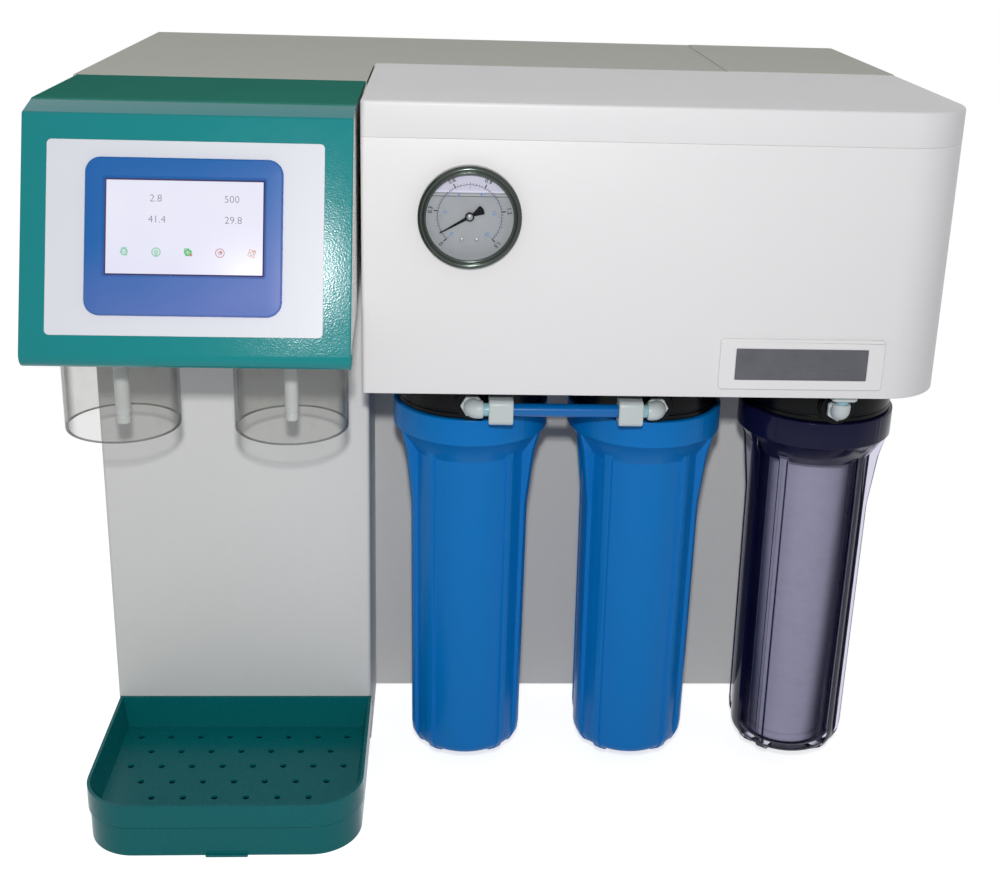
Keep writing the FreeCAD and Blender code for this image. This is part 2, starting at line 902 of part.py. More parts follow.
def head_cover():
    """The coloured cover: one shell over the head's top, face and front lip."""
    body = new_body("head_cover")
    outer = head_section(0)
    inner = head_section(z.head_shell)
    lip_back = nose_y + z.head_lip
    pad(body, "shell", "YZ_Plane", outer, 0, z.head_width)
    behind = z.overrun - z.head_back
    hollow = [inner[3], (lip_back, under_at(lip_back, z.head_shell)),
              (lip_back, under_at(lip_back, -z.overrun)),
              (behind, under_at(behind, -z.overrun)), (behind, inner[1][1]), inner[2]]
    cut(body, "hollow", "YZ_Plane", hollow, -z.overrun, z.head_width + 2 * z.overrun)
    soften(body, "inner_top_round", z.head_top_round - z.head_shell, at_point(*inner[2]))
    soften(body, "inner_nose_round", z.head_nose_round - z.head_shell, at_point(*inner[3]))
    soften(body, "top_round", z.head_top_round, at_point(*outer[2]))
    soften(body, "nose_round", z.head_nose_round, at_point(*outer[3]))
    down = z.head_drop / face_length
    edge = z.module_margin + z.module_gap
    window = rectangle(z.screen_left - edge - z.head_left, z.casing_height - (z.screen_bottom + edge) * down,
                       z.screen_right + edge - z.head_left, z.casing_height - (z.screen_top - edge) * down)
    cut(body, "display_window", "XZ_Plane", window, z.head_top_front, z.head_lean)
    return put(body, z.head_left, 0, 0)


def head_cheek(label, across):
    """A pale side plate that closes one end of the head."""
    body = new_body(label)
    section = head_section(z.head_shell)
    back = -z.head_back
    lip_back = nose_y + z.head_lip
    corners = [(back, under_at(back, 0)), section[1], section[2], section[3],
               (lip_back, under_at(lip_back, z.head_shell)), (lip_back, under_at(lip_back, 0))]
    pad(body, "plate", "YZ_Plane", corners, 0, z.cheek_wall)
    soften(body, "top_round", z.head_top_round - z.head_shell, at_point(*section[2]))
    soften(body, "nose_round", z.head_nose_round - z.head_shell, at_point(*section[3]))
    return put(body, across, 0, 0)


def head_cheeks():
    head_cheek("head_left_cheek", z.head_left + z.cheek_set)
    head_cheek("head_right_cheek", z.head_left + z.head_width - z.cheek_set - z.cheek_wall)


def outlets():
    """Both dispensing points: side name, place across, tube radius and the tube's lower end."""
    return [("left", z.left_outlet, z.left_outlet_radius, z.left_outlet_bottom),
            ("right", z.right_outlet, z.right_outlet_radius, z.right_outlet_bottom)]


def cheek_span():
    """Left and right faces of the space between the two cheeks."""
    left = z.head_left + z.cheek_set + z.cheek_wall
    right = z.head_left + z.head_width - z.cheek_set - z.cheek_wall
    return left, right


def head_base():
    """The head's sloping floor, with a round collar below for each splash shield."""
    body = new_body("head_base")
    left, right = cheek_span()
    lip_back = nose_y + z.head_lip
    back = -z.head_back
    corners = [(lip_back, under_at(lip_back, 0)), (back, under_at(back, 0)),
               (back, under_at(back, z.head_floor)), (lip_back, under_at(lip_back, z.head_floor))]
    pad(body, "floor", "YZ_Plane", corners, 0, right - left)
    spigot = z.cup_radius - z.cup_wall - z.curved_gap
    bore = spigot - z.cup_collar_wall
    front = -z.outlet_depth - z.cup_radius
    rear = -z.outlet_depth + z.cup_radius
    collar_top = under_at(rear, 0)
    places = [(x - left, radius) for _, x, radius, _ in outlets()]
    pad_discs(body, "collars", "XY_Plane", [(x, -z.outlet_depth, spigot) for x, _ in places],
              z.cup_collar_bottom, collar_top - z.cup_collar_bottom)
    above = [(front, under_at(front, z.head_floor)), (rear, under_at(rear, z.head_floor)),
             (rear, collar_top + z.overrun), (front, collar_top + z.overrun)]
    cut(body, "collar_trim", "YZ_Plane", above, 0, right - left)
    bore_top = under_at(-z.outlet_depth - bore, 0)
    cut_discs(body, "collar_bores", "XY_Plane", [(x, -z.outlet_depth, bore) for x, _ in places],
              z.cup_collar_bottom - z.overrun, bore_top - z.cup_collar_bottom + z.overrun)
    cut_discs(body, "tube_holes", "XY_Plane",
              [(x, -z.outlet_depth, radius + z.curved_gap) for x, radius in places],
              z.cup_collar_bottom - z.overrun, collar_top - z.cup_collar_bottom + 2 * z.overrun)
    return put(body, left, 0, 0)


def head_bracket():
    """The plate that joins the open back of the head to the column."""
    body = new_body("head_bracket")
    left, right = cheek_span()
    low = under_at(-z.head_back, z.head_floor)
    depth = z.head_back - z.column_front
    high = z.casing_height - z.top_fold
    pad(body, "plate", "XY_Plane", rectangle(left, -z.head_back, right, -z.head_back + depth), low,
        high - low)
    return put(body, 0, 0, 0)


def on_face(item, out):
    """Lays a piece on the leaning face: its own X runs right, Y up the face and Z outwards."""
    item.Placement.Rotation = FreeCAD.Rotation(ACROSS, QUARTER_TURN)
    item.setExpression("Placement.Rotation.Angle", "atan(%s / %s)" % (z.head_drop.text, z.head_lean.text))
    deep = -z.head_top_front - out * z.head_drop / face_length
    up = z.casing_height + out * z.head_lean / face_length
    move(item, -middle_across, deep - middle_deep, up)
    return item


def screen_outline(grow):
    return rectangle(z.screen_left - grow, -z.screen_bottom - grow, z.screen_right + grow,
                     -z.screen_top + grow)


def fascia_sheet():
    """The thin sheet on the head's face, with the screen's window."""
    body = new_body("fascia_sheet")
    outer = rectangle(z.fascia_left, -z.fascia_bottom, z.fascia_right, -z.fascia_top, z.fascia_round)
    pad(body, "sheet", "XY_Plane", outer, 0, z.fascia_wall)
    cut(body, "window", "XY_Plane", screen_outline(0), -z.overrun, z.fascia_wall + 2 * z.overrun)
    return on_face(body, Size.of(0))


def screen_bezel():
    """The raised frame round the screen, rounded outside and bevelled inside."""
    body = new_body("screen_bezel")
    outer = rectangle(z.bezel_left, -z.bezel_bottom, z.bezel_right, -z.bezel_top, z.bezel_round)
    pad(body, "frame", "XY_Plane", outer, 0, z.bezel_wall)

    def flat_edge(edge):
        return span(edge)[1][2] < z.pick_reach.number and span(edge)[0].ZMin > z.bezel_wall.number / 2
    soften(body, "outer_round", z.bezel_wall / 2, flat_edge)
    cut(body, "window", "XY_Plane", screen_outline(0), -z.overrun, z.bezel_wall + 2 * z.overrun)
    bevel(body, "window_bevel", z.bezel_wall / 2,
          lambda e: flat_edge(e) and inside(e, z.screen_left, z.screen_right, -z.screen_bottom,
                                            -z.screen_top))
    return on_face(body, z.fascia_wall)


def display_panel():
    """The clear front of the screen, seated in the sheet's window."""
    body = new_body("display_panel")
    pad(body, "panel", "XY_Plane", screen_outline(0), 0, z.screen_glass)
    return on_face(body, Size.of(0))


def display_module():
    """The display and its board, which reach back through the cover's window."""
    body = new_body("display_module")
    pad(body, "module", "XY_Plane", screen_outline(z.module_margin), -z.module_depth, z.module_depth)
    return on_face(body, Size.of(0))


def dispense_manifold():
    """The valve block on the head's floor, with a socket for each outlet tube."""
    body = new_body("dispense_manifold")
    front = -z.outlet_depth - z.manifold_depth / 2
    rear = -z.outlet_depth + z.manifold_depth / 2
    corners = [(front, under_at(front, z.head_floor)), (rear, under_at(rear, z.head_floor)),
               (rear, z.manifold_top), (front, z.manifold_top)]
    pad(body, "block", "YZ_Plane", corners, 0, z.manifold_right - z.manifold_left)
    low = under_at(front, 0)
    sockets = [(x - z.manifold_left, -z.outlet_depth, radius + z.curved_gap) for _, x, radius, _ in outlets()]
    cut_discs(body, "tube_sockets", "XY_Plane", sockets, low, z.socket_top - low)
    return put(body, z.manifold_left, 0, 0)


def outlet_tubes():
    """The two dispensing tubes, each up into its socket."""
    for side, x, radius, bottom in outlets():
        body = new_body(side + "_outlet_tube")
        turn(body, "tube", rectangle(z.outlet_bore, 0, radius, z.socket_top - bottom))
        put(body, x, -z.outlet_depth, bottom)


def splash_cups():
    """The clear open shields round the outlets, cut to the slope of the head's underside."""
    for side, x, _, _ in outlets():
        body = new_body(side + "_cup")
        front = -z.cup_radius - z.overrun
        rear = z.cup_radius + z.overrun
        top = under_at(-z.outlet_depth + z.cup_radius, 0) - z.cup_bottom
        turn(body, "wall", rectangle(z.cup_radius - z.cup_wall, 0, z.cup_radius, top))
        gap = z.cup_bottom + z.curved_gap
        slope = [(front, under_at(front - z.outlet_depth, 0) - gap),
                 (rear, under_at(rear - z.outlet_depth, 0) - gap),
                 (rear, top + z.overrun), (front, top + z.overrun)]
        cut(body, "slope", "YZ_Plane", slope, front, 2 * rear)
        put(body, x, -z.outlet_depth, z.cup_bottom)


# Drip tray
def tray_outline(inset, front, back):
    """The tray seen from above, with its two large front rounds, set in by inset."""
    left = z.tray_left + inset
    right = z.tray_right - inset
    radius = z.tray_round - inset
    return [(left, -front + inset, radius), (right, -front + inset, radius), (right, -back), (left, -back)]


def tray_base():
    """The lower tray: a basin on the table, with a pull tab at its front."""
    body = new_body("tray_base")
    back = z.column_front + z.tray_gap
    pad(body, "basin", "XY_Plane", tray_outline(z.tray_inset, z.tray_front, back), 0, z.tray_seam)
    pad(body, "pull_tab", "XY_Plane",
        rectangle(z.tab_left, -z.tray_front + z.tray_inset - z.tab_reach, z.tab_left + z.tab_width,
                  -z.tray_front + z.tray_inset + z.tray_wall), 0, z.tab_height)
    inner = z.tray_inset + z.tray_wall
    cut(body, "hollow", "XY_Plane", tray_outline(inner, z.tray_front, back + z.tray_wall), z.tray_bottom,
        z.tray_seam)
    return put(body, 0, 0, 0)


DRAIN_ROWS = [(8, 0), (7, 0.5), (8, 0), (7, 0.5), (6, 1), (5, 1.5)]


def drain_holes():
    """The hexagonal rows of drain holes: each row has its count and its shift in shares of a pitch."""
    holes = []
    for row, (count, shift_share) in enumerate(DRAIN_ROWS):
        for n in range(count):
            holes.append((z.drain_left + (n + shift_share) * z.drain_pitch,
                          -z.drain_back - row * z.drain_row, z.drain_radius))
    return holes


def drip_tray():
    """The upper tray: a rim that sits on the basin, and a perforated floor let into it."""
    body = new_body("drip_tray")
    back = z.column_front + z.tray_gap
    skirt = z.tray_inset + z.tray_wall + z.tray_gap
    low = z.tray_floor - z.tray_plate
    pad(body, "skirt", "XY_Plane", tray_outline(skirt, z.tray_front, back + z.tray_wall + z.tray_gap), low,
        z.tray_height - low)
    pad(body, "rim", "XY_Plane", tray_outline(0, z.tray_front, back), z.tray_seam,
        z.tray_height - z.tray_seam)
    inner = skirt + z.tray_wall
    cut(body, "hollow", "XY_Plane", tray_outline(inner, z.tray_front, back + inner), z.tray_floor,
        z.tray_height)
    cut_discs(body, "drain_holes", "XY_Plane", drain_holes(), low - z.overrun, z.tray_plate + 2 * z.overrun)
    return put(body, 0, 0, 0)


# Pressure gauge
# Each turned piece stands on the cabinet's front face with its own Z axis pointing forwards.
def face_forward(item, out):
    return put(item, z.gauge_across, -z.cabinet_front - out, z.gauge_up, ACROSS, QUARTER_TURN)


def gauge_case():
    """The cup that passes through the cabinet's front."""
    body = new_body("gauge_case")
    radius = z.gauge_case_radius
    wall = z.gauge_case_wall
    top = z.gauge_proud - z.gauge_lens_set
    corners = [(0, -z.gauge_depth), (radius, -z.gauge_depth), (radius, top), (radius - wall, top),
               (radius - wall, -z.gauge_depth + wall), (0, -z.gauge_depth + wall)]
    turn(body, "cup", corners)
    return face_forward(body, 0)


def gauge_bezel():
    """The bright ring round the glass."""
    body = new_body("gauge_bezel")
    case = z.gauge_case_radius + z.curved_gap
    top = z.gauge_proud
    seat = top - z.gauge_lens_set
    slope = (top - seat) / 2
    corners = [(case, 0), (z.gauge_bezel_radius, 0), (z.gauge_bezel_radius, top - slope),
               (z.gauge_bezel_radius - slope, top), (z.gauge_window + slope, top), (z.gauge_window, seat),
               (case, seat)]
    turn(body, "ring", corners)
    return face_forward(body, 0)


def gauge_lens():
    """The flat glass under the bezel's lip."""
    body = new_body("gauge_lens")
    seat = z.gauge_proud - z.gauge_lens_set
    radius = z.gauge_case_radius - z.gauge_case_wall - z.curved_gap
    turn(body, "glass", rectangle(0, seat - z.gauge_lens_wall, radius, seat))
    return face_forward(body, 0)


def dial_face():
    """Height of the dial's face over the cabinet's front."""
    return z.gauge_proud - z.gauge_dial_set


def gauge_dial():
    """The scale plate, with a hole for the spindle."""
    body = new_body("gauge_dial")
    radius = z.gauge_case_radius - z.gauge_case_wall - z.curved_gap
    hole = z.spindle_radius + z.curved_gap
    turn(body, "plate", rectangle(hole, dial_face() - z.gauge_dial_wall, radius, dial_face()))
    return face_forward(body, 0)


def gauge_movement():
    """The movement behind the dial, its stem through the back of the case, and its brass socket."""
    body = new_body("gauge_movement")
    top = dial_face() - z.gauge_dial_wall
    floor = -z.gauge_depth + z.gauge_case_wall
    bore = z.spindle_radius + z.spindle_gap
    corners = [(bore, floor), (z.movement_radius, floor), (z.movement_radius, top), (bore, top)]
    turn(body, "drum", corners)
    return face_forward(body, 0)


def gauge_pointer():
    """The pointer: a tapered needle with a fan-shaped tail, a hub cap and a spindle."""
    body = new_body("gauge_pointer")
    low = dial_face() + z.pointer_lift
    depth = z.gauge_depth / 2
    high = low + z.pointer_wall + z.pointer_boss
    turn(body, "hub", [(0, -depth), (z.spindle_radius, -depth), (z.spindle_radius, low), (z.pointer_hub, low),
                       (z.pointer_hub, high), (0, high)])
    half = z.pointer_width / 2
    tail = z.pointer_tail_width / 2
    needle = [(-half, 0), (-tail, -z.pointer_tail), (tail, -z.pointer_tail), (half, 0),
              (half * z.pointer_tip_share, z.pointer_length), (-half * z.pointer_tip_share, z.pointer_length)]
    pad(body, "needle", "XY_Plane", needle, low, z.pointer_wall)
    face_forward(body, 0)
    turned = DIAL_SWEEP / 2 - POINTER_READING
    body.Placement.Rotation = FreeCAD.Rotation(ACROSS, QUARTER_TURN) * FreeCAD.Rotation(UPWARD, turned)
    return body


# Name plate
def name_plate_frame():
    """The raised frame under the gauge, with a sunk field for the plate."""
    body = new_body("name_plate_frame")
    width = z.plate_right - z.plate_left
    height = z.plate_top - z.plate_bottom
    pad(body, "frame", "XZ_Plane", rectangle(0, 0, width, height, z.plate_round), 0, z.plate_proud)
    field = rectangle(z.plate_frame, z.plate_frame_side, width - z.plate_frame, height - z.plate_frame_side)
    cut(body, "field", "XZ_Plane", field, z.plate_wall, z.plate_proud)
    return put(body, z.plate_left, -z.cabinet_front, z.plate_bottom)


def name_plate():
    """The bare metal plate in the frame."""
    body = new_body("name_plate")
    width = z.plate_right - z.plate_left - 2 * z.plate_frame
    height = z.plate_top - z.plate_bottom - 2 * z.plate_frame_side
    pad(body, "plate", "XZ_Plane", rectangle(0, 0, width, height), 0, z.plate_wall)
    return put(body, z.plate_left + z.plate_frame, -z.cabinet_front - z.plate_wall,
               z.plate_bottom + z.plate_frame_side)


# Filter housings
FLARED_RIBS = (65, 115)
STRAIGHT_RIBS = (39, 141)


def hang(item, n, up=0):
    """Places a turned piece on a filter's upright axis."""
    return put(item, filter_across(n), -z.filter_depth, up)


def filter_heads():
    """The black caps: a threaded neck, a domed top, a port front and back, and two bosses."""
    neck_bottom = z.collar_bottom + 2 * z.seal_radius + z.curved_gap
    skirt_bottom = z.collar_top + z.curved_gap
    inner = z.cap_neck_radius - z.cap_wall
    spigot = z.cartridge_core - z.curved_gap
    seat = z.cartridge_top + z.curved_gap
    for n in range(FILTERS):
        body = new_body("filter_head_%d" % (n + 1))
        corners = [(0, seat - z.cartridge_cap), (spigot, seat - z.cartridge_cap), (spigot, seat),
                   (z.cap_post_radius, seat), (z.cap_post_radius, z.cap_ceiling), (inner, z.cap_ceiling),
                   (inner, neck_bottom), (z.cap_neck_radius, neck_bottom), (z.cap_neck_radius, skirt_bottom),
                   (z.cap_skirt_radius, skirt_bottom), (z.cap_skirt_radius, z.cap_body_top),
                   (z.cap_dome_radius, z.cap_dome_top), (0, z.cap_dome_top)]
        turn(body, "cap", corners)
        soften(body, "dome_round", z.cap_round,
               lambda e: span(e)[1][2] < z.pick_reach.number and span(e)[1][0] > z.cap_dome_radius.number
               and span(e)[0].ZMin > z.cap_body_top.number - z.pick_reach.number)
        port = [(0, z.port_height, z.port_radius)]
        bore = [(0, z.port_height, z.port_bore)]
        reach = z.port_reach - z.port_root
        pad_discs(body, "front_port", "XZ_Plane", port, z.port_root, reach)
        pad_discs(body, "rear_port", "XZ_Plane", port, -z.port_reach, reach)
        cut_discs(body, "front_bore", "XZ_Plane", bore, inner - z.overrun, z.port_reach)
        cut_discs(body, "rear_bore", "XZ_Plane", bore, -z.port_reach - z.overrun,
                  z.port_reach - inner + 2 * z.overrun)
        bosses = [(-z.cap_boss_across, 0, z.cap_boss_radius), (z.cap_boss_across, 0, z.cap_boss_radius)]
        pad_discs(body, "bosses", "XY_Plane", bosses, z.cap_ceiling + z.cap_wall,
                  z.cap_boss_top - z.cap_ceiling - z.cap_wall)
        hang(body, n)


def filter_sumps():
    """The ribbed bowls: a knurled collar, a conical shoulder, a tapered wall and eight ribs.

    Four ribs flare out under the collar and four end on the shoulder. All run down the taper and turn
    in under the bowl as feet."""
    wall = z.sump_wall
    low = z.sump_bottom
    for n in range(FILTERS):
        body = new_body("filter_sump_%d" % (n + 1))
        corners = [(0, low), (z.sump_foot_radius, low), (z.shoulder_radius, z.shoulder_height),
                   (z.collar_radius - z.collar_step, z.collar_bottom), (z.collar_radius, z.collar_bottom),
                   (z.collar_radius, z.collar_top), (z.collar_bore, z.collar_top), (z.collar_bore,
                                                                                    z.collar_bottom),
                   (z.ledge_radius, z.collar_bottom), (z.shoulder_radius - wall, z.shoulder_height + wall),
                   (z.sump_foot_radius - wall, low + wall), (0, low + wall)]
        turn(body, "bowl", corners)
        soften(body, "bowl_round", z.sump_round,
               lambda e: span(e)[1][2] < z.pick_reach.number and span(e)[1][0] > z.sump_foot_radius.number
               and abs(span(e)[0].ZMin - low.number) < z.pick_reach.number)
        taper = (z.shoulder_radius - z.sump_foot_radius) / (z.shoulder_height - low)
        flare = z.sump_foot_radius + (z.rib_flare_bottom - low) * taper + z.rib_reach
        foot_up = low + 2 * z.sump_round
        neck = z.collar_radius - z.collar_step
        end_up = z.shoulder_height + z.rib_reach * z.shoulder_drop / (neck - z.shoulder_radius)
        foot = [(z.rib_inner, low + wall / 2), (z.rib_inner, z.rib_bottom),
                (z.rib_inner + z.rib_foot, z.rib_bottom),
                (z.sump_foot_radius - z.rib_reach, low - z.rib_reach + z.rib_reach * z.rib_turn_share),
                (z.sump_foot_radius + z.rib_reach * z.rib_turn_share, low + z.sump_round),
                (z.sump_foot_radius + z.rib_reach, foot_up)]
        root = [(z.shoulder_radius - wall / 2, z.shoulder_height), (z.sump_foot_radius - wall / 2, foot_up),
                (z.rib_inner + z.rib_foot, low + wall / 2)]
        for side in (-1, 1):
            for angle in FLARED_RIBS + STRAIGHT_RIBS:
                rib = foot + [(z.shoulder_radius + z.rib_reach, end_up)] + root
                if angle in FLARED_RIBS:
                    rib = foot + [(flare, z.rib_flare_bottom), (neck, z.collar_bottom)] + root
                name = "rib_%s_%d" % ("left" if side < 0 else "right", angle)
                sk = sketch(body, name + "_outline", "XZ_Plane", 0)
                turned = side * angle - QUARTER_TURN
                sk.AttachmentOffset = FreeCAD.Placement(FreeCAD.Vector(), FreeCAD.Rotation(BACKWARD, turned))
                draw(sk, rib)
                raise_from(body, "PartDesign::Pad", sk, z.rib_width, name).Midplane = True
        hang(body, n)


def sump_seals():
    """The rings between each bowl's ledge and the cap's neck."""
    for n in range(FILTERS):
        ring = doc.addObject("Part::Torus", "ring_%d" % (n + 1))
        bind(ring, "Radius1", z.seal_ring_radius)
        bind(ring, "Radius2", z.seal_radius)
        node(hang(ring, n, z.collar_bottom + z.seal_radius), "sump_seal_%d" % (n + 1))


def filter_cartridges():
    """The cartridges: a hollow core of filter medium with a moulded cap at each end."""
    low = z.sump_bottom + z.sump_wall + z.curved_gap
    for n in range(FILTERS):
        body = new_body("filter_cartridge_%d" % (n + 1))
        top = z.cartridge_top
        corners = [(z.cartridge_core, low), (z.cartridge_cap_radius, low),
                   (z.cartridge_cap_radius, low + z.cartridge_cap), (z.cartridge_radius,
                                                                     low + z.cartridge_cap),
                   (z.cartridge_radius, top - z.cartridge_cap), (z.cartridge_cap_radius,
                                                                 top - z.cartridge_cap),
                   (z.cartridge_cap_radius, top), (z.cartridge_core, top)]
        turn(body, "core", corners)
        hang(body, n)


def filter_bracket():
    """The angle on the panel that carries the three caps."""
    body = new_body("filter_bracket")
    flange = z.bracket_flange
    wall = z.bracket_wall
    corners = [(-z.bracket_reach, 0), (0, 0), (0, flange), (-wall, flange), (-wall, wall),
               (-z.bracket_reach, wall)]
    pad(body, "angle", "YZ_Plane", corners, 0, z.bracket_right - z.bracket_left)
    return put(body, z.bracket_left, 0, z.cap_boss_top)


# Tubes and fittings in front
def tube(name, radius, bore, length):
    """A straight tube along its own Z axis."""
    body = doc.addObject("PartDesign::Body", name)
    turn(body, name + "_wall", rectangle(bore, 0, radius, length))
    return body


def arm_turns():
    """Each front fitting: its filter, and the turn that lays its outlet arm along X or up."""
    return [(0, BACKWARD, QUARTER_TURN, 1), (1, BACKWARD, -QUARTER_TURN, -1), (2, None, 0, 0)]


def elbow_fittings():
    """The elbows at the front ports: two face each other and one turns up into the cabinet."""
    neck = z.fitting_depth - z.filter_depth - z.port_reach
    elbows = []
    for n, axis, angle, _ in arm_turns():
        place = (filter_across(n), -z.fitting_depth, z.port_height)
        arm = put(rod("elbow_arm_%d" % n, z.fitting_radius, z.union_start), *place, axis, angle)
        stem = put(rod("elbow_stem_%d" % n, z.fitting_radius, neck), *place, ACROSS, -QUARTER_TURN)
        bend = put(ball("elbow_bend_%d" % n, z.fitting_radius), *place)
        solid = fuse("elbow_solid_%d" % n, [arm, stem, bend])
        arm_bore = put(rod("elbow_arm_bore_%d" % n, z.fitting_bore, z.union_start + z.overrun), *place,
                       axis, angle)
        stem_bore = put(rod("elbow_stem_bore_%d" % n, z.fitting_bore, neck + z.overrun), *place, ACROSS,
                        -QUARTER_TURN)
        elbows.append(minus("elbow_%d" % n, solid, fuse("elbow_bores_%d" % n, [arm_bore, stem_bore])))
    return node(together("elbows", elbows), "elbow_fittings")


def union_nuts():
    """The nuts that hold the tubes in the elbows."""
    nuts = []
    for n, axis, angle, side in arm_turns():
        nut = tube("union_nut_%d" % n, z.union_radius, z.tube_radius + z.nut_gap, z.union_length)
        if side:
            nuts.append(put(nut, filter_across(n) + side * z.union_start, -z.fitting_depth, z.port_height,
                            axis, angle))
        else:
            nuts.append(put(nut, filter_across(n), -z.fitting_depth, z.port_height + z.union_start))
    return node(together("nuts", nuts), "union_nuts")


def front_tubes():
    """The blue tube between two filters, the riser of the third, and the tubes into the casing."""
    length = z.filter_pitch - 2 * z.union_start
    link = tube("link_tube", z.tube_radius, z.tube_bore, length)
    node(put(link, z.filter_first + z.union_start, -z.fitting_depth, z.port_height, BACKWARD, QUARTER_TURN),
         "link_tube")
    rise = z.port_height + z.union_start
    riser = tube("riser_tube", z.tube_radius, z.tube_bore, z.riser_top - rise)
    node(put(riser, filter_across(2), -z.fitting_depth, rise), "riser_tube")
    start = z.port_reach - z.filter_depth
    tubes = []
    for n in range(FILTERS):
        rear = tube("rear_tube_%d" % n, z.tube_radius, z.tube_bore, z.rear_tube_end - start)
        tubes.append(put(rear, filter_across(n), start, z.port_height, ACROSS, -QUARTER_TURN))
    node(together("rear_tubes", tubes), "rear_port_tubes")


# Inside the casing
FLOOR = z.foot_height + z.sheet


def upright_vessel(label, across, radius, height):
    """A closed pressure tube that stands on the floor, with a wider cap at each end and a neck."""
    body = new_body(label)
    neck = z.vessel_neck
    cap = 2 * z.vessel_neck
    wide = radius + z.vessel_cap_step
    corners = [(0, 0), (wide, 0), (wide, cap), (radius, cap), (radius, height - cap), (wide, height - cap),
               (wide, height), (neck, height), (neck, height + neck), (0, height + neck)]
    turn(body, "tube", corners)
    return put(body, across, z.vessel_deep, FLOOR)


def vessels():
    upright_vessel("membrane_housing", z.vessel_across, z.vessel_radius, z.vessel_height)
    upright_vessel("polishing_column", z.column_across, z.resin_radius, z.resin_height)


def booster_pump():
    """The pump: a motor lying on a foot block, with its head at one end."""
    left = z.pump_across - z.pump_length / 2
    up = FLOOR + z.pump_lift + z.pump_radius
    motor = put(rod("pump_motor", z.pump_radius, z.pump_length - z.pump_head), left + z.pump_head,
                z.vessel_deep, up, BACKWARD, QUARTER_TURN)
    head = put(block("pump_head", z.pump_head, 2 * z.pump_radius, 2 * z.pump_radius + z.pump_lift),
               left, z.vessel_deep - z.pump_radius, FLOOR)
    foot = put(block("pump_foot", z.pump_length - z.pump_head, z.pump_radius,
                     z.pump_lift + z.pump_radius / 2),
               left + z.pump_head, z.vessel_deep - z.pump_radius / 2, FLOOR)
    return node(fuse("pump", [motor, head, foot]), "booster_pump")


def power_supply():
    """The closed supply unit on the column's floor."""
    body = new_body("power_supply")
    pad(body, "case", "XY_Plane", rectangle(0, 0, z.supply_width, z.supply_depth, z.fold_radius), 0,
        z.supply_height)
    return put(body, z.supply_left, z.supply_back - z.supply_depth, FLOOR)


def control_board():
    """The board on four posts against the column's left wall."""
    wall = z.board_wall
    back = z.board_back - z.board_depth
    board = put(block("board", wall, z.board_depth, z.board_height), z.sheet + z.board_standoff, back,
                z.board_up)
    posts = []
    for n in range(4):
        deep = back + z.screw_inset + (n % 2) * (z.board_depth - 2 * z.screw_inset)
        up = z.board_up + z.screw_inset + (n // 2) * (z.board_height - 2 * z.screw_inset)
        post = rod("board_post_%d" % n, z.board_standoff_radius, z.board_standoff)
        posts.append(put(post, z.sheet, deep, up, BACKWARD, QUARTER_TURN))
    return node(fuse("board_and_posts", [board] + posts), "control_board")


# Rear fittings
def power_inlet():
    """The inlet unit in the back panel: a recess with three pins, and a well for the switch."""
    body = new_body("power_inlet")
    wide, tall = z.inlet_width, z.inlet_height
    rim = z.inlet_flange
    wall = z.inlet_flange_wall
    pad(body, "case", "XZ_Plane", rectangle(0, 0, wide, tall), 0, z.inlet_depth)
    pad(body, "flange", "XZ_Plane", rectangle(-rim, -rim, wide + rim, tall + rim, z.fold_radius), -wall, wall)
    middle = tall / 2
    socket = rectangle(z.socket_left, middle - z.socket_height / 2, z.socket_left + z.socket_width,
                       middle + z.socket_height / 2, z.fold_radius)
    cut(body, "socket", "XZ_Plane", socket, -wall - z.overrun, z.socket_depth + wall + z.overrun)
    across = z.socket_left + z.socket_width / 2
    pins = [(across, middle + z.pin_rise, z.pin_radius), (across - z.pin_pitch, middle - z.pin_rise,
                                                          z.pin_radius),
            (across + z.pin_pitch, middle - z.pin_rise, z.pin_radius)]
    pad_discs(body, "pins", "XZ_Plane", pins, z.socket_depth - z.pin_length, z.pin_length)
    right = wide - z.well_right
    well = rectangle(right - z.well_width, middle - z.well_height / 2, right, middle + z.well_height / 2)
    cut(body, "switch_well", "XZ_Plane", well, -wall - z.overrun, z.well_depth + wall + z.overrun)
    reach = (z.well_width - z.rocker_width) / 2
    pivot = z.rocker_width + 2 * z.pivot_length + 2 * z.pivot_gap
    cut_discs(body, "pivot_holes", "YZ_Plane", [(0, middle, z.pivot_radius + z.pivot_gap)],
              right - z.well_width + reach - z.pivot_length - z.pivot_gap, pivot)
    return put(body, z.inlet_left, z.casing_rear, z.inlet_up)


def rocker_switch():
    """The rocker: a dished key on a short pivot across the well."""
    body = new_body("rocker_switch")
    half = z.rocker_half
    back, foot = z.rocker_back, z.rocker_foot
    corners = [(-back, -foot), (0, -half), (z.rocker_proud, -half), (z.rocker_proud - z.rocker_dish, 0),
               (z.rocker_proud, half), (0, half), (-back, foot)]
    pad(body, "key", "YZ_Plane", corners, -z.rocker_width / 2, z.rocker_width)
    reach = z.rocker_width / 2 + z.pivot_length
    pad_discs(body, "pivot", "YZ_Plane", [(0, 0, z.pivot_radius)], -reach, 2 * reach)
    across = z.inlet_left + z.inlet_width - z.well_right - z.well_width / 2
    return put(body, across, z.casing_rear, z.inlet_up + z.inlet_height / 2)


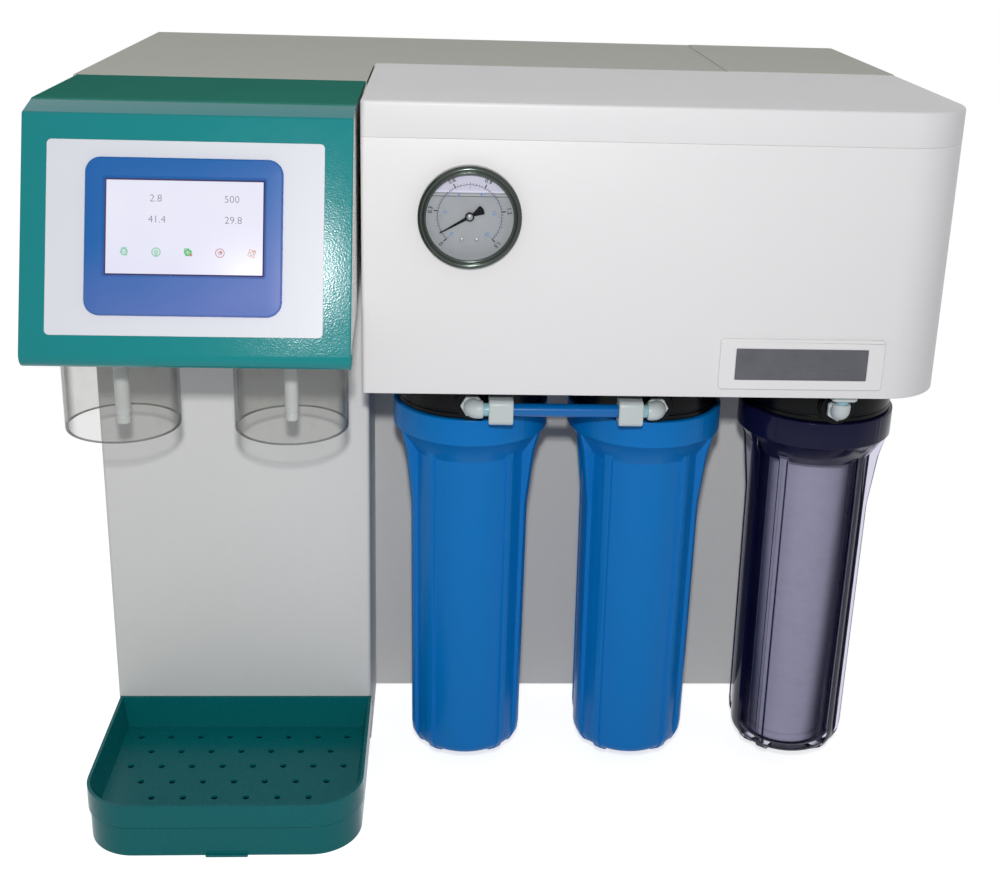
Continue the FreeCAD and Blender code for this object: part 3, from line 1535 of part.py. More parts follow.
def bulkhead_fittings():
    """The push-in tube fittings through the back panel, each with its nut inside."""
    pieces = []
    for n in range(BULKHEADS):
        place = (z.bulkhead_first + z.bulkhead_pitch * n, z.casing_rear, z.bulkhead_up)
        inner = (place[0], z.casing_rear - z.bulkhead_inner, z.bulkhead_up)
        bottom = (place[0], z.casing_rear + z.bulkhead_reach - z.bulkhead_bore_depth, z.bulkhead_up)
        inside = (place[0], z.casing_rear - z.sheet - z.bulkhead_nut, z.bulkhead_up)
        full = z.bulkhead_reach + z.bulkhead_inner
        barrel = put(rod("barrel_%d" % n, z.bulkhead_radius, full), *inner, ACROSS, -QUARTER_TURN)
        collar = put(rod("barrel_collar_%d" % n, z.bulkhead_nut_radius, z.bulkhead_nut / 2), *place, ACROSS,
                     -QUARTER_TURN)
        bore = put(rod("tube_bore_%d" % n, z.bulkhead_tube_radius, z.bulkhead_bore_depth + z.overrun),
                   *bottom,
                   ACROSS, -QUARTER_TURN)
        through = put(rod("through_bore_%d" % n, z.tube_bore, full), *inner, ACROSS, -QUARTER_TURN)
        pieces.append(minus("fitting_%d" % n, fuse("fitting_solid_%d" % n, [barrel, collar]),
                            fuse("fitting_bores_%d" % n, [bore, through])))
        nut = put(rod("fitting_nut_solid_%d" % n, z.bulkhead_nut_radius, z.bulkhead_nut), *inside, ACROSS,
                  -QUARTER_TURN)
        hole = put(rod("fitting_nut_hole_%d" % n, z.bulkhead_radius, z.bulkhead_nut), *inside, ACROSS,
                   -QUARTER_TURN)
        pieces.append(minus("fitting_nut_%d" % n, nut, hole))
    return node(together("fittings", pieces), "bulkhead_fittings")


# The whole unit
PIECES = [column_cover, recess_panel, base_plate, rubber_feet, top_plate, rear_top_cover, rear_cover,
          cover_screws, upper_cabinet, cabinet_lid, head_cover, head_cheeks, head_base, head_bracket,
          fascia_sheet, screen_bezel, display_panel, display_module, dispense_manifold, outlet_tubes,
          splash_cups, tray_base, drip_tray, gauge_case, gauge_bezel, gauge_lens, gauge_dial,
          gauge_movement, gauge_pointer, name_plate_frame, name_plate, filter_heads, filter_sumps,
          sump_seals, filter_cartridges, filter_bracket, elbow_fittings, union_nuts, front_tubes, vessels,
          booster_pump, power_supply, control_board, power_inlet, rocker_switch, bulkhead_fittings]

for make in PIECES:
    make()
doc.recompute()

for item in doc.Objects:
    if "Invalid" in item.State or "Error" in item.State:
        raise RuntimeError("%s did not build: %s" % (item.Name, item.State))
for item in nodes:
    if item.Shape.isNull() or not item.Shape.isValid() or not item.Shape.Solids:
        raise RuntimeError("%s has no sound shape" % item.Label)

os.makedirs("parts", exist_ok=True)
for item in nodes:
    item.Shape.exportStep("parts/%s.step" % item.Label)
print("%d pieces" % len(nodes))
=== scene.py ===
import logging
import math
from collections.abc import Callable, Sequence
from dataclasses import dataclass
from enum import Enum
from typing import Any

import bmesh
import bpy
import numpy as np
from mathutils import Matrix, Vector


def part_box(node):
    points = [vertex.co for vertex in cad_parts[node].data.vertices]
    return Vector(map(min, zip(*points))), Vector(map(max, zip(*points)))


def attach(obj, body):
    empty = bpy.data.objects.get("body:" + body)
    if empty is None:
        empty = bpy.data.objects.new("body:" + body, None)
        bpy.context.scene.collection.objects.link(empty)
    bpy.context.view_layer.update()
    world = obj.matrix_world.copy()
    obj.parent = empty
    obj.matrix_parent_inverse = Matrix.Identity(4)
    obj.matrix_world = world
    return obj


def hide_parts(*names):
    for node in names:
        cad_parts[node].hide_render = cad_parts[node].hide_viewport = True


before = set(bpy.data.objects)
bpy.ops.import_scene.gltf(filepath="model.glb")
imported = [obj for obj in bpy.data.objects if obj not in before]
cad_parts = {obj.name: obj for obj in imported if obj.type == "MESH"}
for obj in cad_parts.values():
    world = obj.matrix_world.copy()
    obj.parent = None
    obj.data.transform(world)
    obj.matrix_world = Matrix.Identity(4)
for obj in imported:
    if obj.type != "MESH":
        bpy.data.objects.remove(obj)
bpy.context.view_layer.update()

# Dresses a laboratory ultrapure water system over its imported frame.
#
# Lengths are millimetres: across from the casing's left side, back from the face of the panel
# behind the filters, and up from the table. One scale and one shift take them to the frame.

log = logging.getLogger("water_system")

METRE = 0.001    # a millimetre in the frame's metres
CASING = np.array([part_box("column_cover")[0][0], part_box("recess_panel")[0][1], 0.0])
TURN = 2 * math.pi
MERGE = 1e-6    # metres between points that are one
FLAT = math.radians(0.5)    # a bend under this is none
CRISP = 30.0    # degrees over which an eased copy's edge counts as one
NEAR = 0.2    # millimetres within which a point lies at a size
AXIS = 0.02    # the radius at which a turned form is closed at its axis
BELOW_ALL, ABOVE_ALL = -1.0, 9.0    # heights in metres that no piece reaches
WHITE = (1.0, 1.0, 1.0, 1.0)
Point = Sequence[float]


# Forms
@dataclass
class Form:
    """A surface in the making: its points in millimetres, and arrays of faces with equal corners."""

    points: np.ndarray
    faces: list[np.ndarray]

    def __add__(self, other: "Form") -> "Form":
        """Both surfaces in one."""
        shift = len(self.points)
        return Form(np.vstack([self.points, other.points]),
                    self.faces + [rows + shift for rows in other.faces])

    def moved(self, across: float = 0, deep: float = 0, up: float = 0) -> "Form":
        """The surface shifted by three lengths."""
        return Form(self.points + (across, deep, up), self.faces)

    def laid(self, x: Point, y: Point, z: Point) -> "Form":
        """The surface turned so that its own axes point along x, y and z."""
        return Form(self.points @ np.array([x, y, z], float), self.faces)

    def spun(self, degrees: float) -> "Form":
        """The surface turned about its own upright axis, anticlockwise from above."""
        c, s = math.cos(math.radians(degrees)), math.sin(math.radians(degrees))
        return self.laid((c, s, 0), (-s, c, 0), (0, 0, 1))

    def facing_front(self) -> "Form":
        """The surface turned so that its own Z axis points forwards and its Y axis up."""
        return self.laid((1, 0, 0), (0, 0, 1), (0, -1, 0))

    def facing_right(self) -> "Form":
        """The surface turned so that its own Z axis points right and its Y axis up."""
        return self.laid((0, 1, 0), (0, 0, 1), (1, 0, 0))

    def facing_back(self) -> "Form":
        """The surface turned so that its own Z axis points backwards and its Y axis up."""
        return self.laid((-1, 0, 0), (0, 0, 1), (0, 1, 0))


def gathered(forms: Sequence[Form]) -> Form:
    """Several surfaces in one.

    Args:
        forms: The surfaces.

    Returns:
        One surface that holds them all.
    """
    whole = forms[0]
    for form in forms[1:]:
        whole = whole + form
    return whole


def loft(rings: np.ndarray, start: bool = True, end: bool = True, round_again: bool = False) -> Form:
    """Skins a stack of closed rings: each face joins points (i, j), (i, j+1), (i+1, j+1), (i+1, j).

    Args:
        rings: An array of rings, points and coordinates.
        start: Whether one face closes the first ring.
        end: Whether one face closes the last ring.
        round_again: Whether the last ring is joined to the first instead.

    Returns:
        The skin.
    """
    index = np.arange(rings.shape[0] * rings.shape[1]).reshape(rings.shape[:2])
    if round_again:
        index = np.vstack([index, index[:1]])
    beside = np.roll(index, -1, axis=1)
    faces = [np.stack([index[:-1], beside[:-1], beside[1:], index[1:]], axis=-1).reshape(-1, 4)]
    if start and not round_again:
        faces.append(index[:1, ::-1])
    if end and not round_again:
        faces.append(index[-1:])
    return Form(rings.reshape(-1, 3), faces)


def rounded_path(corners: Sequence[Point], inset: float = 0.0, steps: int = 6, closed: bool = True) -> np.ndarray:
    """Points along a path whose corners are arcs.

    A corner's arc is tangent to its two sides. The path is moved to its left by inset, which takes that
    much off the radius of a corner that turns left and adds it to one that turns right. A closed path
    is taken anticlockwise.

    Args:
        corners: Each corner as (x, y) or (x, y, radius).
        inset: The shift to the left.
        steps: The number of parts of each arc.
        closed: Whether the last corner is joined to the first.

    Returns:
        An array of (x, y) points, steps + 1 for each corner.
    """
    p = np.array([c[:2] for c in corners], float)
    radius = np.array([c[2] if len(c) > 2 else 0.0 for c in corners])
    beyond = np.roll(p, -1, axis=0)
    if closed and np.sum(p[:, 0] * beyond[:, 1] - p[:, 1] * beyond[:, 0]) < 0:
        p, radius = p[::-1], radius[::-1]
    arriving = p - np.roll(p, 1, axis=0)
    leaving = np.roll(p, -1, axis=0) - p
    if not closed:
        arriving[0], leaving[-1] = leaving[0], arriving[-1]
    arriving /= np.linalg.norm(arriving, axis=1)[:, None]
    leaving /= np.linalg.norm(leaving, axis=1)[:, None]
    cross = arriving[:, 0] * leaving[:, 1] - arriving[:, 1] * leaving[:, 0]
    dot = np.sum(arriving * leaving, axis=1)
    side = np.where(cross >= 0, 1.0, -1.0)
    left = np.column_stack([-arriving[:, 1], arriving[:, 0]])
    mitre = (left + np.column_stack([-leaving[:, 1], leaving[:, 0]])) / (1 + dot)[:, None]
    final = np.maximum(radius - side * inset, 0)
    centre = p + mitre * (side * final + inset)[:, None]
    a = np.arctan2(cross, dot)[:, None] * np.linspace(0, 1, steps + 1)
    spoke = np.stack([left[:, :1] * np.cos(a) - left[:, 1:] * np.sin(a),
                      left[:, :1] * np.sin(a) + left[:, 1:] * np.cos(a)], axis=-1)
    return (centre[:, None] - (side * final)[:, None, None] * spoke).reshape(-1, 2)


def stacked(corners: Sequence[Point], rows: Sequence[Point], steps: int = 6) -> list[np.ndarray]:
    """Rings of a rounded outline: ring i is moved in by rows[i][0] and lies at the height rows[i][1]."""
    return [np.insert(rounded_path(corners, inset, steps), 2, height, axis=1) for inset, height in rows]


def prism(corners: Sequence[Point], rows: Sequence[Point], steps: int = 6) -> Form:
    """A solid between the stacked rings of a rounded outline, with its own Z axis upright."""
    return loft(np.array(stacked(corners, rows, steps)))


def circle(radius: float, up: float, segments: int, start: float = 0.0) -> np.ndarray:
    """A level ring: x = r cos t, y = r sin t, z = up, for t from start through a full turn."""
    t = np.linspace(0, TURN, segments, endpoint=False) + start
    return np.column_stack([radius * np.cos(t), radius * np.sin(t), up + 0 * t])


def soft_end(at: float, soft: float, sign: int, start: float = 0.0, steps: int = 3) -> list[tuple[float, float]]:
    """Rows of a rounded rim, from its flat end to its upright wall.

    The inset is start + soft (1 - sin a), and the height at + sign soft (1 - cos a), for a from 0 to 90 degrees.

    Args:
        at: The height of the flat end.
        soft: The rim's radius.
        sign: 1 where the wall lies above the end, -1 where it lies below.
        start: The inset of the wall.
        steps: The parts of the round.

    Returns:
        The pairs of inset and height.
    """
    a = np.linspace(0, TURN / 4, steps + 1)
    return [(start + soft * (1 - math.sin(t)), at + sign * soft * (1 - math.cos(t))) for t in a]


def block_rows(low: float, high: float, soft: float, steps: int = 3) -> list[tuple[float, float]]:
    """Rows of a solid whose lower and upper rims are rounded by soft."""
    return soft_end(low, soft, 1, steps=steps) + soft_end(high, soft, -1, steps=steps)[::-1]


def rectangle(left: float, low: float, right: float, high: float, radius: float = 0) -> list[Point]:
    """The corners of a rectangle with rounded corners."""
    return [(left, low, radius), (right, low, radius), (right, high, radius), (left, high, radius)]


def turned(profile: Sequence[Point], segments: int = 64, steps: int = 4, start: bool = False,
           end: bool = False) -> Form:
    """A turned surface: x = r cos t, y = r sin t and z = h, for each (r, h) of a rounded profile.

    Args:
        profile: The path as (radius, height) or (radius, height, rounding).
        segments: The parts of a full turn.
        steps: The parts of each rounded corner.
        start: Whether the first ring is closed by a face.
        end: Whether the last ring is closed by a face.

    Returns:
        The surface, about its own Z axis.
    """
    path = rounded_path(profile, steps=steps, closed=False)
    r, h = np.maximum(path[:, :1], 0), path[:, 1:]
    t = np.linspace(0, TURN, segments, endpoint=False)
    rings = np.stack([r * np.cos(t), r * np.sin(t), h + 0 * t], axis=-1)
    return loft(rings, start, end)


def turned_closed(profile: Sequence[Point], segments: int = 64, steps: int = 4) -> Form:
    """A turned ring whose profile is a closed path, by the same formula as a turned surface."""
    path = rounded_path(profile, steps=steps)
    t = np.linspace(0, TURN, segments, endpoint=False)
    rings = np.stack([path[:, :1] * np.cos(t), path[:, :1] * np.sin(t), path[:, 1:] + 0 * t], axis=-1)
    return loft(rings, round_again=True)


def carried(path: np.ndarray, radii: np.ndarray, segments: int = 24) -> Form:
    """A round section carried along a path: ring i lies square to the path's direction at point i.

    Args:
        path: The path's points.
        radii: The section's radius at each.
        segments: The parts of a full turn.

    Returns:
        The surface, closed at both ends.
    """
    along = np.gradient(path, axis=0)
    along /= np.linalg.norm(along, axis=1)[:, None]
    rest = np.cross(along[0], along[-1])
    if np.linalg.norm(rest) < MERGE:
        rest = np.cross(along[0], (0.3, 0.5, 0.8))
    rest /= np.linalg.norm(rest)
    other = np.cross(along, rest)
    t = np.linspace(0, TURN, segments, endpoint=False)[:, None]
    ring = np.cos(t) * other[:, None] + np.sin(t) * rest
    return loft(path[:, None] + radii[:, None, None] * ring)


def words(text: str, size: float, thick: float = 0.1, weight: float = -0.012) -> Form:
    """Plain numbers as a thin raised solid in Blender's own face, centred on the origin.

    Args:
        text: The numbers.
        size: The height of the face.
        thick: The solid's thickness.
        weight: What the lines gain or lose in width, as a share of the size.

    Returns:
        The solid, read from the left with Z towards the reader.
    """
    curve = bpy.data.curves.new("numbers", "FONT")
    curve.body, curve.size, curve.extrude = text, size, thick / 2
    curve.align_x, curve.align_y, curve.resolution_u = "CENTER", "CENTER", 3
    curve.offset = weight * size
    holder = bpy.data.objects.new("numbers", curve)
    mesh = bpy.data.meshes.new_from_object(holder)
    points = np.zeros(len(mesh.vertices) * 3)
    mesh.vertices.foreach_get("co", points)
    faces = [np.array([face.vertices[:]]) for face in mesh.polygons]
    bpy.data.objects.remove(holder)
    bpy.data.curves.remove(curve)
    bpy.data.meshes.remove(mesh)
    return Form(points.reshape(-1, 3) + (0, 0, thick / 2), faces)


# Shader maths
def tone(red: int, green: int, blue: int) -> tuple[float, float, float, float]:
    """A colour as it is written on a screen, turned into light."""
    light = [((c / 255 + 0.055) / 1.055) ** 2.4 if c > 10 else c / 255 / 12.92 for c in (red, green, blue)]
    return (light[0], light[1], light[2], 1.0)


class Wire:
    """A shader socket that takes part in sums: each operator adds its Math node."""

    def __init__(self, tree: "Tree", socket: bpy.types.NodeSocket) -> None:
        """Keeps the tree and the socket."""
        self.tree, self.socket = tree, socket

    def maths(self, operation: str, first: Any, second: Any = 0.0) -> "Wire":
        """A Math node over two values or wires."""
        return self.tree.node("ShaderNodeMath", {"operation": operation}, {0: first, 1: second})

    def __add__(self, other: Any) -> "Wire":
        """self + other"""
        return self.maths("ADD", self, other)

    __radd__ = __add__

    def __sub__(self, other: Any) -> "Wire":
        """self - other"""
        return self.maths("SUBTRACT", self, other)

    def __rsub__(self, other: Any) -> "Wire":
        """other - self"""
        return self.maths("SUBTRACT", other, self)

    def __mul__(self, other: Any) -> "Wire":
        """self * other"""
        return self.maths("MULTIPLY", self, other)

    __rmul__ = __mul__

    def over(self, edge: float, soft: float) -> "Wire":
        """0 below edge and 1 above it, with a step of width soft."""
        return self.tree.node("ShaderNodeMapRange", {"interpolation_type": "SMOOTHSTEP"},
                              {"Value": self, "From Min": edge - soft / 2, "From Max": edge + soft / 2})


class Tree:
    """The node tree of a material or of the world."""

    def __init__(self, owner: bpy.types.Material | bpy.types.World) -> None:
        """Empties the owner's tree."""
        owner.use_nodes = True
        self.owner, self.links, self.nodes = owner, owner.node_tree.links, owner.node_tree.nodes
        self.nodes.clear()

    def node(self, kind: str, settings: dict[str, Any] | None = None, sockets: dict[Any, Any] | None = None,
             output: int | str = 0) -> Wire:
        """Adds any node.

        Args:
            kind: The node's type.
            settings: Its own settings, which are set first.
            sockets: The values or wires of its inputs.
            output: The output that is used.

        Returns:
            That output.
        """
        made = self.nodes.new(kind)
        for key, value in (settings or {}).items():
            setattr(made, key, value)
        for key, value in (sockets or {}).items():
            if isinstance(value, Wire):
                self.links.new(value.socket, made.inputs[key])
            else:
                made.inputs[key].default_value = value
        return Wire(self, made.outputs[output])

    def place(self) -> Wire:
        """Places on the piece, in metres from the frame's origin."""
        return self.node("ShaderNodeTexCoord", output="Object")

    def axis(self, name: str) -> Wire:
        """One coordinate of the place."""
        return self.node("ShaderNodeSeparateXYZ", None, {0: self.place()}, name)

    def noise(self, size: float, detail: float = 3.0, stretch: Point = (1, 1, 1)) -> Wire:
        """Cloudy values about one half.

        Args:
            size: The width of a cloud in millimetres.
            detail: The layers of finer clouds.
            stretch: How much longer a cloud is along each axis.

        Returns:
            The values.
        """
        scale = [1 / s for s in stretch]
        spot = self.node("ShaderNodeMapping", None, {"Vector": self.place(), "Scale": scale})
        return self.node("ShaderNodeTexNoise", None,
                         {"Vector": spot, "Scale": 1 / (size * METRE), "Detail": detail})

    def grains(self, size: float) -> Wire:
        """The distance to the nearest of many scattered points, a mould's grain."""
        return self.node("ShaderNodeTexVoronoi", None,
                         {"Vector": self.place(), "Scale": 1 / (size * METRE)})

    def blend(self, factor: Any, first: Any, second: Any) -> Wire:
        """A colour between two others."""
        return self.node("ShaderNodeMix", {"data_type": "RGBA"}, {0: factor, 6: first, 7: second}, 2)

    def relief(self, height: Wire, depth: float) -> Wire:
        """A normal that follows a height of the given depth in millimetres."""
        return self.node("ShaderNodeBump", None, {"Height": height, "Distance": depth * METRE, "Strength": 1.0})

    def surface(self, sockets: dict[str, Any]) -> Wire:
        """A Principled surface."""
        return self.node("ShaderNodeBsdfPrincipled", None, sockets)

    def shown(self, shader: Wire) -> bpy.types.Material | bpy.types.World:
        """The finished material or world."""
        end = self.nodes.new("ShaderNodeOutput" + type(self.owner).__name__)
        self.links.new(shader.socket, end.inputs["Surface"])
        return self.owner


def shade(colour: Sequence[float], factor: float) -> tuple[float, ...]:
    """A colour made lighter or darker by a factor."""
    return tuple(min(1.0, c * factor) for c in colour[:3]) + (1.0,)


# Finishes
@dataclass(frozen=True)
class Finish:
    """A finish that is made once and shared by its name."""

    name: str

    def material(self) -> bpy.types.Material:
        """The finish's material."""
        title = self.name.replace("_", " ").capitalize()
        return bpy.data.materials.get(title) or self.made(Tree(bpy.data.materials.new(title)))

    def made(self, tree: Tree) -> bpy.types.Material:
        """Fills a new tree."""
        raise NotImplementedError


@dataclass(frozen=True)
class Enamel(Finish):
    """Stoved paint on sheet steel: a fine orange peel, faint clouds and a thin film of dust."""

    colour: tuple[float, ...]
    roughness: float = 0.42
    peel: float = 0.012
    peel_size: float = 1.1
    gloss: float = 0.3
    # Above a height the paint turns matt, in a colour that mixes the paint with a painted reflection.
    dull_above: float = ABOVE_ALL
    dull: tuple[float, ...] = tone(60, 140, 122)

    def made(self, tree: Tree) -> bpy.types.Material:
        """Clouds lighten and dull the paint, and the peel lifts it; the highest part has no gloss, and its colour is
        the paint made paler and greyer by a painted reflection.
        """
        clouds = tree.noise(90, 4)
        dust = tree.noise(7, 5)
        mixed = tree.blend(clouds * 0.6 + dust * 0.4, shade(self.colour, 0.955), shade(self.colour, 1.045))
        rough = self.roughness + (dust - 0.5) * 0.12 + (clouds - 0.5) * 0.06
        bumps = tree.relief(tree.noise(self.peel_size, 1.5), self.peel)
        sockets = {"Base Color": mixed, "Roughness": rough, "Normal": bumps, "Specular IOR Level": self.gloss}
        glossy = tree.surface(sockets)
        if self.dull_above == ABOVE_ALL:
            return tree.shown(glossy)
        # The matt top, in the paint's colour paled and greyed by a painted reflection.
        dull = tree.surface({"Base Color": tree.blend(clouds, shade(self.dull, 0.95), shade(self.dull, 1.05)),
                             "Roughness": 0.6, "Specular IOR Level": 0.0, "Normal": bumps})
        return tree.shown(tree.node("ShaderNodeMixShader", None, {
            0: tree.axis("Z").over(self.dull_above, 0.0008), 1: glossy, 2: dull}))


@dataclass(frozen=True)
class Moulded(Finish):
    """Moulded plastic: a spark-eroded grain, faint flow clouds and small scuffs."""

    colour: tuple[float, ...]
    roughness: float = 0.4
    grain: float = 0.01
    grain_size: float = 0.8
    gloss: float = 0.3
    cloud: float = 0.03
    translucency: float = 0.0

    def made(self, tree: Tree) -> bpy.types.Material:
        """Clouds vary the colour, scuffs dull it, and the grain lifts it."""
        clouds = tree.noise(35, 4)
        scuffs = tree.noise(2.2, 5, (1, 1, 6)).over(0.62, 0.2)
        mixed = tree.blend(clouds, shade(self.colour, 1 - self.cloud), shade(self.colour, 1 + self.cloud))
        rough = self.roughness + (clouds - 0.5) * 0.1 + scuffs * 0.07
        bumps = tree.relief(tree.grains(self.grain_size) + tree.noise(3, 2) * 0.5, self.grain)
        sockets = {"Base Color": mixed, "Roughness": rough, "Normal": bumps, "Specular IOR Level": self.gloss}
        if self.translucency:
            sockets |= {"Subsurface Weight": self.translucency, "Subsurface Radius": (0.004, 0.004, 0.004)}
        return tree.shown(tree.surface(sockets))


@dataclass(frozen=True)
class Rubber(Finish):
    """Matt black rubber with a fine tooth and dust in it."""

    colour: tuple[float, ...] = (0.018, 0.018, 0.02, 1.0)

    def made(self, tree: Tree) -> bpy.types.Material:
        """Dust greys the rubber."""
        dust = tree.noise(5, 5)
        mixed = tree.blend(dust.over(0.6, 0.4), self.colour, shade(self.colour, 2.4))
        return tree.shown(tree.surface({"Base Color": mixed, "Roughness": 0.75 + dust * 0.15,
                                        "Normal": tree.relief(tree.grains(0.5), 0.02)}))


class Grain(Enum):
    """The way a metal's fine lines run."""

    ACROSS = (60.0, 1.0, 1.0)
    DEEP = (1.0, 60.0, 1.0)
    NONE = (1.0, 1.0, 1.0)


@dataclass(frozen=True)
class Metal(Finish):
    """Bare or plated metal, with fine lines, clouds and a few dull spots."""

    colour: tuple[float, ...]
    roughness: float = 0.25
    grain: Grain = Grain.NONE
    line: float = 0.003
    spread: float = 0.12

    def made(self, tree: Tree) -> bpy.types.Material:
        """Lines lift the metal, and clouds dull it."""
        lines = tree.noise(0.35, 2, self.grain.value)
        clouds = tree.noise(14, 4)
        mixed = tree.blend(lines * 0.5 + clouds * 0.5, shade(self.colour, 1 - self.spread),
                           shade(self.colour, 1 + self.spread))
        rough = self.roughness + (lines - 0.5) * self.spread + (clouds - 0.5) * 0.08
        return tree.shown(tree.surface({"Base Color": mixed, "Metallic": 1.0, "Roughness": rough,
                                        "Normal": tree.relief(lines, self.line)}))


@dataclass(frozen=True)
class ClearPlastic(Finish):
    """Clear plastic: it lets light through where it faces the eye, and turns solid towards its edges."""

    tint: tuple[float, ...]
    edge: tuple[float, ...]
    least: float = 0.06
    most: float = 0.85
    turn: float = 0.55
    spread: float = 0.7
    roughness: float = 0.06
    solid_below: float = BELOW_ALL
    solid_above: float = ABOVE_ALL
    gloss: float = 0.5

    def made(self, tree: Tree) -> bpy.types.Material:
        """The share of solid colour grows as the surface turns from the eye, as its path through does."""
        haze = tree.noise(9, 4)
        clear = tree.node("ShaderNodeBsdfTransparent", None, {"Color": self.tint})
        solid = tree.surface({"Base Color": tree.blend(haze, shade(self.edge, 0.85), shade(self.edge, 1.15)),
                              "Roughness": self.roughness + haze * 0.06, "Specular IOR Level": self.gloss})
        facing = tree.node("ShaderNodeLayerWeight", None, {"Blend": 0.5}, "Facing")
        share = facing.over(self.turn, self.spread) * (self.most - self.least) + self.least
        up = tree.axis("Z")
        ends = up.over(self.solid_above, 0.0006) + (1 - up.over(self.solid_below, 0.0004))
        both = tree.node("ShaderNodeMixShader", None,
                         {0: share + haze.over(0.62, 0.3) * 0.03 + ends * self.most, 1: clear, 2: solid})
        return tree.shown(both)


@dataclass(frozen=True)
class SpunMedium(Finish):
    """Filter medium: soft white fibre, wound in faint level bands."""

    colour: tuple[float, ...]

    def made(self, tree: Tree) -> bpy.types.Material:
        """Bands and fibres shade and lift the medium."""
        bands = tree.noise(2.4, 3, (12, 12, 1))
        fibres = tree.noise(0.9, 4, (5, 5, 1))
        mixed = tree.blend(bands * 0.6 + fibres * 0.4, shade(self.colour, 0.88), shade(self.colour, 1.08))
        return tree.shown(tree.surface({"Base Color": mixed, "Roughness": 0.85,
                                        "Normal": tree.relief(bands + fibres * 0.4, 0.25)}))


@dataclass(frozen=True)
class Ink(Finish):
    """Printed ink, a little broken at its edges."""

    colour: tuple[float, ...]

    def made(self, tree: Tree) -> bpy.types.Material:
        """Small clouds thin the ink."""
        thin = tree.noise(0.4, 3)
        mixed = tree.blend(thin, shade(self.colour, 0.85), shade(self.colour, 1.2))
        return tree.shown(tree.surface({"Base Color": mixed, "Roughness": 0.5 + thin * 0.1,
                                        "Specular IOR Level": 0.08}))


@dataclass(frozen=True)
class Lit(Finish):
    """A lit display, or one of its colours: it glows evenly, with faint clouds."""

    low: tuple[float, ...]
    high: tuple[float, ...]
    glow: float = 0.8

    def made(self, tree: Tree) -> bpy.types.Material:
        """The light grows a little from the lower edge upwards."""
        rise = tree.axis("Z").over(0.44, 0.1) * 0.7 + tree.noise(25, 2) * 0.3
        light = tree.blend(rise, self.low, self.high)
        return tree.shown(tree.surface({"Base Color": shade(self.high, 0.04), "Roughness": 0.3,
                                        "Specular IOR Level": 0.15, "Emission Color": light,
                                        "Emission Strength": self.glow}))


# Pieces
def linked(name: str, data: bpy.types.ID) -> bpy.types.Object:
    """A new object with this data, in the scene."""
    made = bpy.data.objects.new(name, data)
    bpy.context.scene.collection.objects.link(made)
    return made


@dataclass(frozen=True)
class Dress:
    """What a piece is made of, the record's slot if it isn't the finish's name, and the body that it rides on."""

    finish: Finish
    slot: str = ""
    body: str = "root"


def finished(name: str, mesh: bpy.types.Mesh, dress: Dress, replaces: Sequence[str],
             crisp: float) -> bpy.types.Object:
    """Shades a mesh smooth, dresses it and sets it in the scene on its body.

    Args:
        name: The piece's name.
        mesh: Its mesh.
        dress: Its finish and body.
        replaces: The nodes that it stands for.
        crisp: The angle in degrees over which an edge stays crisp.

    Returns:
        The piece.
    """
    mesh.shade_smooth()
    mesh.set_sharp_from_angle(angle=math.radians(crisp))
    mesh.materials.append(dress.finish.material())
    made = linked(name, mesh)
    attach(made, dress.body)
    if replaces:
        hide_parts(*replaces)
    log.info("%s: %d faces", name, len(mesh.polygons))
    return made


def piece(name: str, form: Form, dress: Dress, replaces: Sequence[str] = (), smooth: float = 40.0) -> None:
    """Makes a piece of the object from a surface.

    Args:
        name: The piece's name.
        form: Its surface, by the casing's measures.
        dress: Its finish and body.
        replaces: The nodes that it stands for.
        smooth: The angle in degrees over which an edge stays crisp.
    """
    mesh = bpy.data.meshes.new(name)
    faces = [row for rows in form.faces for row in rows.tolist()]
    mesh.from_pydata((form.points * METRE + CASING).tolist(), [], faces)
    work = bmesh.new()
    work.from_mesh(mesh)
    bmesh.ops.remove_doubles(work, verts=work.verts, dist=MERGE)
    bmesh.ops.dissolve_degenerate(work, edges=work.edges, dist=MERGE)
    bmesh.ops.recalc_face_normals(work, faces=work.faces)
    work.to_mesh(mesh)
    work.free()
    finished(name, mesh, dress, replaces, smooth)


def eased(node: str, dress: Dress, width: float, segments: int = 2,
          moved: Callable[[np.ndarray], np.ndarray] | None = None) -> None:
    """Stands a copy of a node with eased edges in the node's place.

    Args:
        node: The node.
        dress: The copy's finish and body.
        width: The width of the eased edges in millimetres.
        segments: The parts of an eased edge.
        moved: Gives the copy's points, by the casing's measures, their new places.
    """
    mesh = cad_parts[node].data.copy()
    mesh.materials.clear()
    work = bmesh.new()
    work.from_mesh(mesh)
    bmesh.ops.remove_doubles(work, verts=work.verts, dist=MERGE)
    bmesh.ops.dissolve_limit(work, angle_limit=FLAT, verts=work.verts, edges=work.edges)
    work.to_mesh(mesh)
    work.free()
    if moved:
        flat = np.empty(3 * len(mesh.vertices))
        mesh.vertices.foreach_get("co", flat)
        points = moved((flat.reshape(-1, 3) - CASING) / METRE)
        mesh.vertices.foreach_set("co", (points * METRE + CASING).ravel())
    made = finished(node + "_eased", mesh, dress, [node], CRISP)
    bevel = made.modifiers.new("Eased edges", "BEVEL")
    bevel.width, bevel.segments = width * METRE, segments
    bevel.limit_method, bevel.angle_limit = "ANGLE", math.radians(CRISP)
    bevel.harden_normals = True


def eased_each(dress: Dress, width: float, *nodes: str) -> None:
    """Stands an eased copy in the place of each of several nodes."""
    for node in nodes:
        eased(node, dress, width)


def kept(node: str, finish: Finish) -> None:
    """Gives a node that stays as it is a better finish."""
    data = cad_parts[node].data
    data.materials.clear()
    data.materials.append(finish.material())
    log.info("%s: kept", node)


